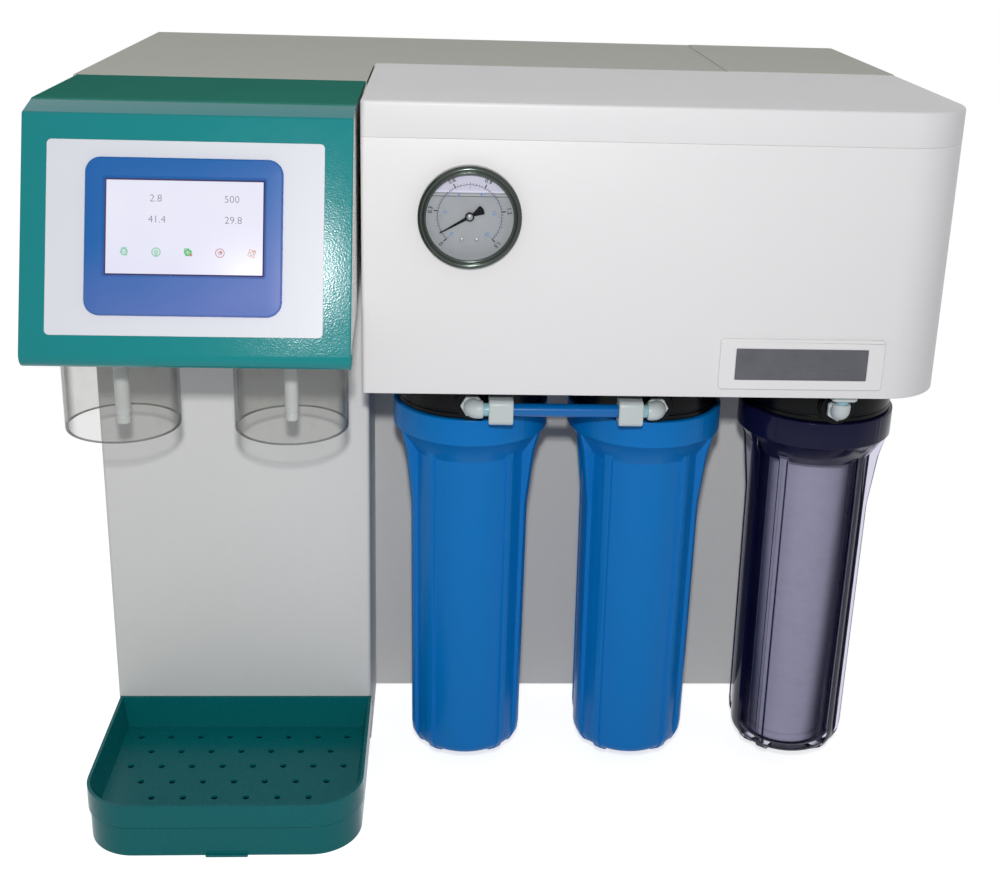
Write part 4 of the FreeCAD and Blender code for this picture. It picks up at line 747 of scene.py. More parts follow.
# Finishes of the parts: depths and sizes of grain, peel and lines in millimetres
CREAM = tone(228, 226, 226)
CASING_ENAMEL = Enamel("casing_enamel", tone(224, 223, 221), roughness=0.5, gloss=0.2)
REAR_ENAMEL = Enamel("rear_enamel", tone(205, 204, 201), roughness=0.55, peel=0.02)
TOP_ENAMEL = Enamel("top_enamel", tone(212, 212, 200), roughness=0.55, peel=0.015, gloss=0.03)
CABINET_SHELL = Moulded("cabinet_shell", CREAM, roughness=0.36, grain=0.003, grain_size=0.9, cloud=0.012)
# The head's top has no gloss, and its colour is paled and greyed by a painted reflection.
HEAD_TEAL = Enamel("head_teal", (0.001, 0.215, 0.222, 1.0), roughness=0.2, peel=0.08, gloss=0.24, dull_above=0.5492)
CHEEK_WHITE = Moulded("cheek_white", tone(226, 226, 222), roughness=0.4, grain=0.004, cloud=0.02)
FASCIA = Moulded("fascia_sheet", tone(216, 217, 223), roughness=0.36, grain=0.003, grain_size=0.5, gloss=0.25,
                 cloud=0.01)
WHITE_FITTING = Moulded("white_fitting", tone(196, 204, 204), roughness=0.34, grain=0.006, gloss=0.35,
                        translucency=0.25)
OUTLET_WHITE = Moulded("outlet_white", tone(228, 231, 230), roughness=0.32, grain=0.003, gloss=0.35, translucency=0.3)
TRAY_TEAL = Moulded("tray_teal", (0.001, 0.13, 0.138, 1.0), roughness=0.26, grain=0.006, gloss=0.15, cloud=0.04)
BLACK_PLASTIC = Moulded("black_plastic", tone(6, 7, 9), roughness=0.24, grain=0.008, gloss=0.1, cloud=0.2)
SUMP_BLUE = Moulded("sump_blue", (0.001, 0.165, 0.5, 1.0), roughness=0.3, grain=0.004, grain_size=0.9, gloss=0.14)
TUBE_END = Moulded("tube_end", tone(150, 192, 202), roughness=0.25, grain=0.002, gloss=0.35, translucency=0.2)
BLUE_TUBE = Moulded("blue_tube", (0.001, 0.13, 0.42, 1.0), roughness=0.2, grain=0.002, gloss=0.25, cloud=0.04)
VESSEL_WHITE = Moulded("vessel_white", tone(226, 226, 222), roughness=0.35, grain=0.008, grain_size=1.0)
PUMP_GREY = Enamel("pump_grey", tone(58, 62, 68), roughness=0.45, peel=0.02)
ELECTRONICS = Moulded("electronics", tone(24, 82, 52), roughness=0.42, grain=0.02, grain_size=1.4, cloud=0.25)
SUPPLY_ZINC = Metal("supply_zinc", tone(176, 180, 184), roughness=0.42, spread=0.15)
STEEL = Metal("steel", tone(150, 152, 156), roughness=0.34, grain=Grain.ACROSS)
# The bracket's near-black navy is the colour of the shadow under the cabinet: painted shade on a steel bracket.
BRACKET_SHADE_DARK = Enamel("bracket_painted_shade", tone(16, 18, 28), roughness=0.5, peel=0.015)
# The chrome ring's dark green-grey colour is a painted reflection of a dark room; the lamps give its bright parts.
CHROME_RING_DARK_REFLECTION = Metal("bright_ring", tone(70, 76, 72), roughness=0.16, line=0.0006, spread=0.1)
BRASS = Metal("brass", tone(196, 160, 92), roughness=0.3, grain=Grain.DEEP)
DARK_METAL = Metal("dark_metal", tone(92, 92, 98), roughness=0.38, grain=Grain.ACROSS, line=0.004, spread=0.3)
GAUGE_GLASS = ClearPlastic("gauge_glass", (0.985, 0.985, 0.985, 1.0), (0.3, 0.32, 0.34, 1.0), least=0.01, most=0.5,
                           turn=0.85, spread=0.3, roughness=0.02)
CLEAR_CUP = ClearPlastic("clear_cup", (0.93, 0.93, 0.92, 1.0), (0.2, 0.21, 0.2, 1.0), least=0.04, most=0.72, turn=0.68,
                         spread=0.5, roughness=0.05, solid_below=0.3278)
SUMP_NAVY = ClearPlastic("sump_navy", (0.87, 0.86, 0.93, 1.0), (0.006, 0.006, 0.034, 1.0), least=0.05, most=0.97,
                         turn=0.38, spread=0.24, roughness=0.08, solid_above=0.2955, gloss=0.12)
BLACK_INK = Ink("black_ink", tone(10, 10, 22))
BLUE_INK = Ink("blue_ink", tone(84, 140, 208))
POINTER_BLACK = Ink("pointer_black", tone(4, 4, 8))
MEDIUM = SpunMedium("filter_medium", tone(232, 232, 232))
RUBBER = Rubber("rubber")
SCREEN = Lit("screen_light", tone(216, 216, 244), tone(238, 238, 252), glow=0.93)
DIGITS = Lit("screen_digits", tone(140, 134, 150), tone(140, 134, 150), glow=0.9)


# Sub-assemblies
@dataclass
class Casing:
    """The sheet casing: column, recess panel, top, back, floor, feet and screws."""

    width: float = 622
    height: float = 550
    rear: float = 220
    screw_radius: float = 4
    screw_head: float = 2
    screw_inset: float = 9.5
    recess: float = 0.9
    slot_width: float = 0.75
    slot_reach: float = 2.2

    def screw(self) -> Form:
        """A pan head with a crossed recess, facing up.

        The height is a dome, head (1 - (r / R)^4), less the recess where the place lies on either arm of
        the cross: |x| or |y| under the slot's half width, within its reach.

        Returns:
            The head on its own Z axis.
        """
        t, r = np.meshgrid(np.linspace(0, TURN, 48, endpoint=False), np.linspace(self.screw_radius, 0.05, 22))
        x, y = r * np.cos(t), r * np.sin(t)
        arm = np.minimum(np.abs(x), np.abs(y)) < self.slot_width / 2
        sunk = arm & (r < self.slot_reach)
        height = self.screw_head * (1 - (r / self.screw_radius) ** 4) - self.recess * sunk
        base = np.stack([x[:1], y[:1], 0 * x[:1]], axis=-1)
        return loft(np.concatenate([base, np.stack([x, y, np.maximum(height, 0.1)], axis=-1)]))

    def build(self) -> None:
        """Dresses the sheets and makes the screws."""
        eased_each(Dress(CASING_ENAMEL, "casing_paint"), 0.3, "column_cover", "recess_panel", "base_plate")
        eased("top_plate", Dress(TOP_ENAMEL), 1.3, 4)
        eased("rear_top_cover", Dress(TOP_ENAMEL), 0.35)
        eased("rear_cover", Dress(REAR_ENAMEL, "rear_paint"), 0.25)
        eased("rubber_feet", Dress(RUBBER), 0.4)
        low, high = self.screw_inset, self.height - self.screw_inset
        heads = [self.screw().facing_back().moved(x, self.rear, up)
                 for x in (low, self.width / 2, self.width - low) for up in (low + 3.5, high)]
        piece("cover_screw_heads", gathered(heads), Dress(STEEL), ["cover_screws"])


@dataclass
class Cabinet:
    """The upper cabinet, its lid, and the name plate in its frame."""

    left: float = 208
    right: float = 622
    front: float = -195
    bottom: float = 349
    top: float = 527
    wall: float = 3
    corner: float = 46
    edge: float = 3
    lip: float = 1
    lid_top: float = 551
    lid_wall: float = 2.5
    lid_back: float = 10
    lid_soft: float = 2.2
    rib: float = 8
    gap: float = 0.5

    def shell_corners(self) -> list[Point]:
        """The cabinet's wall seen from above: out along its outside and back along its inside."""
        w = self.wall
        return [(self.left, 0), (self.left, self.front, self.edge), (self.right, self.front, self.corner),
                (self.right, 0), (self.right - w, 0), (self.right - w, self.front + w, self.corner - w),
                (self.left + w, self.front + w, self.edge / 2), (self.left + w, 0)]

    def shell(self) -> Form:
        """The cabinet's wall with eased rims."""
        return prism(self.shell_corners(), block_rows(self.bottom, self.top, 0.7), 14)

    def lid(self) -> Form:
        """The lid: a cap with a rounded rim and a hollow below, and its two locating ribs."""
        low, front = self.top, self.front - self.lip
        corners = [(self.left, front, self.edge + self.lip), (self.right, front, self.corner + self.lip),
                   (self.right, self.lid_back, 0.6), (self.left, self.lid_back, 0.6)]
        rows = [(self.lid_wall, self.lid_top - self.lid_wall), (self.lid_wall, low)]
        rows += soft_end(low, 0.4, 1)[1:] + soft_end(self.lid_top, self.lid_soft, -1, steps=5)[::-1]
        cap = prism(corners, rows, 14)
        ribs = []
        reach = self.wall + self.gap
        for x in (self.left + reach, self.right - reach - self.lid_wall):
            ribs.append(prism(rectangle(x, self.front + self.corner, x + self.lid_wall, -self.corner, 0.5),
                              block_rows(low - self.rib, self.lid_top - self.lid_wall, 0.4), 3))
        return gathered([cap] + ribs)

    def build(self) -> None:
        """Makes the shell and the lid, and dresses the frame and the bare plate."""
        piece("cabinet_wall", self.shell(), Dress(CABINET_SHELL), ["upper_cabinet"], 30)
        piece("cabinet_lid_cap", self.lid(), Dress(CABINET_SHELL, body="lid"), ["cabinet_lid"], 30)
        eased("name_plate_frame", Dress(CABINET_SHELL), 1.1, 4)
        eased("name_plate", Dress(DARK_METAL), 0.2)


@dataclass
class Head:
    """The dispensing head: cover, cheeks, floor, fascia and display."""

    left: float = 2.5
    right: float = 206.5
    top: float = 550
    back: float = -94
    front: float = -231
    lean: float = 57
    drop: float = 159.3
    rise_share: float = 0.22
    shell: float = 2
    lip: float = 26
    roll: float = 2.4
    band: float = 6.0
    band_back: float = 22.0
    cheek_wall: float = 3.0
    cheek_lefts: tuple[float, float] = (4.0, 202.0)
    nose_round: float = 8

    def under(self, deep: float, wall: float = 0) -> float:
        """Height of the sloping underside, or of a wall square above it, at a depth."""
        nose = self.front - self.lean
        return (self.top - self.drop + (deep - nose) * self.rise_share
                + wall * math.hypot(1, self.rise_share))

    def nose(self, wall: float) -> tuple[float, float]:
        """Where a wall behind the face meets a wall above the underside."""
        slope = self.lean / self.drop
        back = self.front - self.top * slope + wall * math.hypot(self.lean, self.drop) / self.drop
        low = self.under(0, wall)
        deep = (back + slope * low) / (1 - slope * self.rise_share)
        return deep, self.under(deep, wall)

    def face(self, up: float, wall: float = 0) -> float:
        """Depth of the leaning face, or of a wall behind it, at a height."""
        return (self.front - (self.top - up) * self.lean / self.drop
                + wall * math.hypot(self.lean, self.drop) / self.drop)

    def section(self, wall: float, nose_round: float, roll: float) -> list[Point]:
        """The side view's corners from the lip to the top's back.

        Args:
            wall: How far they are set in.
            nose_round: The nose's radius.
            roll: The radius at the band's two bends.

        Returns:
            The corners.
        """
        low = self.top - self.band * self.drop / math.hypot(self.lean, self.drop)
        lip = self.front - self.lean + self.lip
        return [(lip, self.under(lip, wall)), (*self.nose(wall), nose_round),
                (self.face(low, wall), low - wall / 2, roll),
                (self.front + self.band_back + wall / 2, self.top - wall, roll), (self.back, self.top - wall)]

    def side_view(self) -> list[Point]:
        """The cover's wall from the side: over the top, a broad shallow band, the face and the lip, and back."""
        w = self.shell
        return self.section(0, self.nose_round, self.roll)[::-1] + self.section(w, self.nose_round - w, 0.5)

    def cheek(self, left: float) -> Form:
        """The pale plate that closes one end, below the cover's wall."""
        lip = self.front - self.lean + self.lip
        corners = self.section(self.shell, self.nose_round - self.shell, 0.5)
        corners = corners + [(self.back, self.under(self.back)), (lip, self.under(lip))]
        rows = block_rows(left, left + self.cheek_wall, 0.4)
        return prism(corners[::-1], rows, 8).facing_right()

    def cover(self) -> Form:
        """The cover: its side view carried from left to right, with its two rims eased."""
        rows = block_rows(self.left, self.right, 0.85)
        return prism(self.side_view(), rows, 8).facing_right()

    def on_face(self, form: Form, out: float = 0) -> Form:
        """Lays a form on the leaning face: its X runs right, its Y up the face and its Z outwards."""
        length = math.hypot(self.lean, self.drop)
        a, b = self.lean / length, self.drop / length
        return form.laid((1, 0, 0), (0, a, b), (0, -b, a)).moved(0, self.front - out * b, self.top + out * a)

    def build(self) -> None:
        """Makes the cover and dresses the rest."""
        piece("head_shell", self.cover(), Dress(HEAD_TEAL), ["head_cover"])
        for side, left in zip(("left", "right"), self.cheek_lefts):
            piece(side + "_cheek_plate", self.cheek(left), Dress(CHEEK_WHITE),
                  ["head_%s_cheek" % side])
        eased("head_base", Dress(CHEEK_WHITE), 0.3)
        kept("head_bracket", CASING_ENAMEL)
        eased("fascia_sheet", Dress(FASCIA, "fascia"), 0.25)


@dataclass(frozen=True)
class Bezel(Finish):
    """Frame round the screen: deep blue above and to the left, paler and greyer below and to the right."""

    top: tuple[float, ...] = (0.012, 0.115, 0.37, 1.0)
    low: tuple[float, ...] = (0.1, 0.16, 0.44, 1.0)
    low_up: float = 0.425
    high_up: float = 0.5
    sides: tuple[float, float] = (-0.26, -0.15)
    left_gain: float = 0.35
    right_gain: float = -0.25

    def made(self, tree: Tree) -> bpy.types.Material:
        """The two blues run into each other up the frame and from left to right."""
        rise = tree.node("ShaderNodeMapRange", None, {"Value": tree.axis("Z"), "From Min": self.low_up,
                                                      "From Max": self.high_up})
        side = tree.node("ShaderNodeMapRange", None,
                         {"Value": tree.axis("X"), "From Min": self.sides[0], "From Max": self.sides[1],
                          "To Min": self.left_gain, "To Max": self.right_gain})
        clouds = tree.noise(30, 3)
        mixed = tree.blend(rise + side + (clouds - 0.5) * 0.3, self.low, self.top)
        return tree.shown(tree.surface({"Base Color": mixed, "Roughness": 0.36 + clouds * 0.08,
                                        "Specular IOR Level": 0.2,
                                        "Normal": tree.relief(tree.grains(0.5), 0.003)}))


BEZEL_BLUE = Bezel("bezel_blue")
# A dark purple strip that stands for the shade in the screen window's recess: painted shade.
RECESS_SHADE = Moulded("gasket", tone(58, 40, 84), roughness=0.5, grain=0.004, grain_size=0.6, gloss=0.2, cloud=0.06)


@dataclass
class Display:
    """The screen: its frame, its lit front and the plain numbers and marks on it."""

    head: Head
    frame_left: float = 42.5
    frame_right: float = 163.7
    frame_top: float = -33.2
    frame_bottom: float = -131.1
    frame_round: float = 9.5
    left: float = 54.5
    right: float = 152.3
    top: float = -46.3
    bottom: float = -105.9
    sheet: float = 0.8
    proud: float = 3
    glass: float = 1.2
    ink: float = 0.12

    def frame_form(self) -> Form:
        """The frame: rounded outside, sloping in to the screen's window."""
        outer = rectangle(self.frame_left, self.frame_bottom, self.frame_right, self.frame_top, self.frame_round)
        inner = rectangle(self.left, self.bottom, self.right, self.top, 0.6)
        low, high = self.sheet, self.sheet + self.proud
        rows = [(0, low)] + soft_end(high, 1.3, -1, steps=5)[::-1]
        window = [(-1.5, high), (0, high - 1.6), (0, low)]
        return loft(np.array(stacked(outer, rows, 8) + stacked(inner, window, 8)), round_again=True)

    def outline(self, radius: float, width: float, sides: int = 36, turn: float = 0) -> Form:
        """A thin flat ring, or with few sides the outline of a polygon."""
        rings = [circle(r, up, sides, math.radians(turn)) for r, up in
                 ((radius, 0), (radius, self.ink), (radius - width, self.ink), (radius - width, 0))]
        return loft(np.array(rings), round_again=True)

    def marks(self) -> list[tuple[str, Form, Finish]]:
        """The numbers and the five marks' parts, each as name, form and finish."""
        numbers = [words(text, 6.4, self.ink).moved(self.left + x, self.top - y) for text, x, y in
                   (("2.8", 31.0, 12.0), ("500", 77.6, 12.0), ("41.4", 31.8, 25.0), ("29.8", 78.6, 25.0))]
        dot, bar = self.outline(0.9, 0.88, 16), self.outline(2.2, 0.7, 4, 45)
        parts = {
            "pale_green": [(0, self.outline(2.6, 1.2, 6, 15)), (0, dot.moved(1.2, -1.6)), (0, bar.moved(0, 1.2)),
                           (1, self.outline(2.9, 0.8)), (1, self.outline(1.5, 1.0, 5)), (1, dot.moved(0, -2.2))],
            "green": [(2, self.outline(2.7, 1.6, 5, 20)), (2, bar.moved(-0.9, 1.0))],
            "red": [(2, dot.moved(1.8, -1.4)), (3, self.outline(2.9, 0.5)), (3, dot.moved(0.6, 0.4))],
            "brown": [(3, self.outline(1.3, 0.4, 12)), (4, self.outline(1.6, 0.5, 4, 70))],
            "orange": [(4, self.outline(3.1, 0.7, 4, 25)), (4, dot.moved(1.6, 1.4))],
        }
        colours = {"pale_green": tone(160, 212, 186), "green": tone(110, 198, 130), "red": tone(214, 140, 130),
                   "brown": tone(186, 172, 160), "orange": tone(238, 190, 168)}
        found = [("screen_numbers", gathered(numbers), DIGITS)]
        for name, forms in parts.items():
            placed = [form.moved(self.left + 12.0 + 19.55 * n, self.top - 45.2) for n, form in forms]
            found.append(("screen_marks_" + name, gathered(placed),
                          Lit("mark_light_" + name, colours[name], colours[name], 0.9)))
        return [(name, form.moved(0, 0, self.glass), finish) for name, form, finish in found]

    def gasket(self) -> Form:
        """A dark strip round the window, between the frame and the screen's front: the painted shade of the window's
        recess.
        """
        outer = rectangle(self.left + 0.05, self.bottom + 0.05, self.right - 0.05, self.top - 0.05, 0.5)
        rows = [(0, self.glass - 0.2), (0, self.glass + 1.1), (0.75, self.glass + 0.9), (0.75, self.glass - 0.2)]
        return loft(np.array(stacked(outer, rows, 4)), round_again=True)

    def build(self) -> None:
        """Makes the frame, the lit front and the marks."""
        on = self.head.on_face
        piece("screen_frame", on(self.frame_form()), Dress(BEZEL_BLUE), ["screen_bezel"])
        front = prism(rectangle(self.left, self.bottom, self.right, self.top, 0.4), block_rows(0, self.glass, 0.15), 3)
        piece("screen_front", on(front), Dress(SCREEN, "screen"), ["display_panel"])
        # The dark strip in the window's recess is painted shade.
        piece("screen_painted_recess_shade", on(self.gasket()), Dress(RECESS_SHADE, "bezel_blue"))
        for name, form, finish in self.marks():
            piece(name, on(form), Dress(finish, "screen"))
        kept("display_module", ELECTRONICS)


@dataclass
class Outlet:
    """A dispensing point: its tube, and the clear shield round it."""

    side: str
    head: Head
    across: float
    radius: float
    low: float
    deep: float = -200
    bore: float = 3
    tube_top: float = 442
    cup_radius: float = 39
    cup_wall: float = 2
    cup_low: float = 327
    gap: float = 0.3
    segments: int = 96

    def tube(self) -> Form:
        """The tube, with a groove over its cut end."""
        r, low = self.radius, self.low
        path = [(self.bore, low, 0.3), (r - 0.3, low, 0.5), (r - 0.3, low + 5, 0.2), (r - 0.7, low + 5.3, 0.2),
                (r - 0.7, low + 6.2, 0.2), (r, low + 6.6, 0.3), (r, self.tube_top, 0.4),
                (self.bore, self.tube_top, 0.3)]
        return turned_closed(path, 48, 3).moved(self.across, self.deep)

    def cup(self) -> Form:
        """The shield: a wall cut off at the head's slope.

        A point of the wall's top ring lies at the underside's height over its own depth, which is
        self.deep + r sin t.
        """
        r, w, low = self.cup_radius, self.cup_wall, self.cup_low
        lower = rounded_path([(r - w, low + 4), (r - w, low, 0.5), (r, low, 0.5), (r, low + 4)], 0, 4, False)
        rings = [circle(a, z, self.segments) for a, z in lower]
        top, soft = self.head.under(self.deep) - self.gap, 0.3
        for a, up in ((r, top - soft), (r - soft, top), (r - w + soft, top), (r - w, top - soft)):
            ring = circle(a, up, self.segments)
            ring[:, 2] += ring[:, 1] * self.head.rise_share
            rings.append(ring)
        return loft(np.array(rings), round_again=True).moved(self.across, self.deep)

    def build(self) -> None:
        """Makes the tube and the shield."""
        piece(self.side + "_nozzle", self.tube(), Dress(OUTLET_WHITE),
              [self.side + "_outlet_tube"], 30)
        piece(self.side + "_shield_wall", self.cup(), Dress(CLEAR_CUP, body=self.side + "_shield"),
              [self.side + "_cup"], 30)


@dataclass
class Tray:
    """The drip tray in its two halves."""

    left: float = 1.5
    right: float = 207.5
    front: float = -240
    back: float = -89.3
    round: float = 38
    inner: float = 6.8
    rim: float = 2.4
    height: float = 44
    seam: float = 24
    groove: float = 1.3
    tab_height: float = 9
    tab_inset: float = 1.5

    def upper(self, points: np.ndarray) -> np.ndarray:
        """Draws the inner wall out to a thin rim, and opens a shadow groove over the seam."""
        centre = points[:, :2].copy()
        centre[:, 0] = np.clip(centre[:, 0], self.left + self.round, self.right - self.round)
        centre[:, 1] = np.maximum(centre[:, 1], self.front + self.round)
        away = points[:, :2] - centre
        length = np.maximum(np.linalg.norm(away, axis=1), NEAR)
        top = points[:, 2] > self.height - NEAR
        side = top & (abs(self.round - length - self.inner) < NEAR)
        end = top & (abs(points[:, 1] - self.back + self.inner) < NEAR)
        moved = points.copy()
        moved[side, :2] += (away / length[:, None])[side] * (self.inner - self.rim)
        moved[end, 1] += self.inner - self.rim
        moved[abs(points[:, 2] - self.seam) < NEAR, 2] += self.groove
        return moved

    def lower(self, points: np.ndarray) -> np.ndarray:
        """Lowers the pull tab to a flat lip at the table."""
        tab = (abs(points[:, 2] - self.tab_height) < NEAR) & (points[:, 1] < self.front + self.tab_inset + NEAR)
        moved = points.copy()
        moved[tab, 2] = self.tab_height / 4
        return moved

    def build(self) -> None:
        """Dresses both halves."""
        eased("tray_base", Dress(TRAY_TEAL, body="tray"), 0.6, moved=self.lower)
        eased("drip_tray", Dress(TRAY_TEAL, body="tray_top"), 0.6, 3, moved=self.upper)


@dataclass(frozen=True)
class DialPaint(Finish):
    """The gauge's painted plate behind its liquid: paler above the liquid's line, along which painted shade and
    painted highlights stand for the liquid's surface.
    """

    below: tuple[float, ...] = tone(168, 171, 174)
    above: tuple[float, ...] = tone(210, 208, 224)
    line_up: float = 0.4888

    def made(self, tree: Tree) -> bpy.types.Material:
        """The paint steps at the line: a band of painted shade, with painted highlights above it."""
        up = tree.axis("Z")
        clouds = tree.noise(8, 3)
        mixed = tree.blend(clouds, shade(self.below, 0.94), shade(self.below, 1.05))
        # Bands at the line: painted shade (darker) and painted highlights (lighter) of the liquid's surface.
        steps = ((0.0, 0.0003, shade(self.below, 0.4)), (0.0006, 0.0004, shade(self.below, 1.15)),
                 (0.0019, 0.0008, shade(self.below, 0.72)), (0.0028, 0.0006, shade(self.above, 1.2)),
                 (0.0040, 0.0016, self.above))
        for height, soft, colour in steps:
            mixed = tree.blend(up.over(self.line_up + height, soft), mixed, colour)
        return tree.shown(tree.surface({"Base Color": mixed, "Roughness": 0.45 + clouds * 0.08,
                                        "Specular IOR Level": 0.1}))


DIAL_PAINT = DialPaint("dial_paint")


@dataclass
class Gauge:
    """The round pressure gauge, built facing up and stood on the cabinet's front."""

    across: float = 280.5
    up: float = 475.5
    front: float = -195
    bezel: float = 34.75
    case: float = 31.5
    window: float = 29.2
    proud: float = 8.5
    seat: float = 6.5
    lens: float = 1.5
    lens_radius: float = 30
    dial: float = 1.5
    dial_wall: float = 0.8
    hole: float = 1.3
    sweep: float = 270
    reading: float = 15
    step: float = 54
    ink: float = 0.08

    def stood(self, form: Form) -> Form:
        """A form stood in its place on the front."""
        return form.facing_front().moved(self.across, self.front, self.up)

    def ring(self) -> Form:
        """The bezel: a rounded rim, a shallow groove and a rolled lip over the glass."""
        path = [(self.case, 0), (self.bezel, 0, 0.4), (self.bezel, self.proud - 1.6, 1.6),
                (self.bezel - 1.9, self.proud, 1.3), (self.window + 2.6, self.proud - 0.5, 0.8),
                (self.window + 2.0, self.proud - 1.3, 0.4), (self.window + 1.2, self.proud - 0.6, 0.5),
                (self.window, self.proud - 0.8, 0.5), (self.window, self.seat, 0.1), (self.case, self.seat)]
        return turned_closed(path, 128, 5)

    def mark(self, inner: float, outer: float, width: float, turn: float) -> Form:
        """One line of the scale, at an angle clockwise from straight up."""
        line = prism(rectangle(-width / 2, inner, width / 2, outer), [(0, 0), (0, self.ink)], 1)
        return line.spun(-turn).moved(0, 0, self.dial)

    def figure(self, text: str, radius: float, size: float, turn: float) -> Form:
        """One number of the scale, at a radius and turned along the circle."""
        return words(text, size, self.ink, 0.01).moved(0, radius).spun(-turn).moved(0, 0, self.dial)

    def scale(self) -> tuple[Form, Form]:
        """The black outer scale and the blue inner one, each with its circle drawn in short lines."""
        low, small = -self.sweep / 2, self.sweep / 50
        turns = [low + self.step * n for n in range(6)]
        outer = [self.mark(21.5, 24.3, 0.7, turn) for turn in turns]
        outer += [self.mark(21.5, 22.6 if n % 5 else 23.3, 0.26, low + small * n) for n in range(51) if n % 10]
        outer += [self.mark(21.3, 21.55, 2.04, low + small * (n + 0.5)) for n in range(50)]
        outer += [self.figure("%g" % (0.3 * n), 26.6, 4.0, turn) for n, turn in enumerate(turns)]
        inner = [self.mark(20.1 if n % 5 else 18.4, 21.0, 0.3, low + self.sweep / 30 * n) for n in range(31)]
        inner += [self.figure("%d" % (3 * n), 16.6, 3.4, turn) for n, turn in enumerate(turns)]
        return gathered(outer), gathered(inner)

    def pointer(self) -> Form:
        """The pointer: a needle with a fan tail, its hub, its bright cap's seat and the spindle."""
        low, high = self.dial + 0.6, self.dial + 1.2
        outline = [(-0.32, 23, 0.2), (-1.15, 0), (-1.0, -2.5, 1), (-3.3, -9.6, 0.6), (0, -10.8, 5), (3.3, -9.6, 0.6),
                   (1.0, -2.5, 1), (1.15, 0), (0.32, 23, 0.2)]
        needle = prism(outline, block_rows(low, high, 0.1, 2), 4)
        hub = turned([(AXIS, low), (3.1, low, 0.2), (3.1, high + 0.6, 0.4), (2.4, high + 0.9, 0.2),
                      (AXIS, high + 0.9)], 40, 3, True, True)
        spindle = turned([(AXIS, -12), (1, -12, 0.2), (1, low + 0.1), (AXIS, low + 0.1)], 24, 2, True, True)
        return gathered([needle, hub, spindle]).spun(self.sweep / 2 - self.reading)

    def cap(self) -> Form:
        """The bright dome on the hub."""
        high = self.dial + 2.1
        return turned([(AXIS, high - 0.2), (2.3, high - 0.2), (2.3, high + 0.2, 0.3), (1.3, high + 1.0, 1.2),
                       (AXIS, high + 1.0)], 40, 4, True, True)

    def screws(self) -> Form:
        """The dial's two slotted screws."""
        head = turned([(AXIS, self.dial), (1.4, self.dial), (1.4, self.dial + 0.6, 0.3), (AXIS, self.dial + 0.7)],
                      28, 3, True, True)
        slot = prism(rectangle(-1.2, -0.17, 1.2, 0.17), [(0, 0), (0, 0.06)], 1).moved(0, 0, self.dial + 0.68)
        return gathered([(head + slot.spun(30 * side)).moved(5 * side, -16) for side in (-1, 1)])

    def build(self) -> None:
        """Makes the gauge's pieces."""
        stood = self.stood
        plate = turned_closed([(self.hole, self.dial - self.dial_wall), (self.lens_radius, self.dial - self.dial_wall),
                               (self.lens_radius, self.dial, 0.1), (self.hole, self.dial, 0.1)], 96, 2)
        glass = turned([(AXIS, self.seat - self.lens), (self.lens_radius, self.seat - self.lens, 0.15),
                        (self.lens_radius, self.seat, 0.15), (AXIS, self.seat)], 96, 2, True, True)
        black, blue = self.scale()
        piece("gauge_ring", stood(self.ring()), Dress(CHROME_RING_DARK_REFLECTION), ["gauge_bezel"])
        piece("gauge_plate", stood(plate), Dress(DIAL_PAINT, "dial_white"), ["gauge_dial"], 30)
        piece("gauge_glass_disc", stood(glass), Dress(GAUGE_GLASS), ["gauge_lens"], 30)
        piece("gauge_scale", stood(black), Dress(BLACK_INK, "dial_white"), (), 30)
        piece("gauge_inner_scale", stood(blue), Dress(BLUE_INK, "dial_white"), (), 30)
        piece("gauge_screws", stood(self.screws()), Dress(STEEL), (), 30)
        piece("gauge_needle", stood(self.pointer()), Dress(POINTER_BLACK, body="pointer"),
              ["gauge_pointer"])
        piece("gauge_hub_cap", stood(self.cap()), Dress(STEEL, body="pointer"), (), 50)
        eased("gauge_case", Dress(STEEL), 0.3)
        kept("gauge_movement", BRASS)


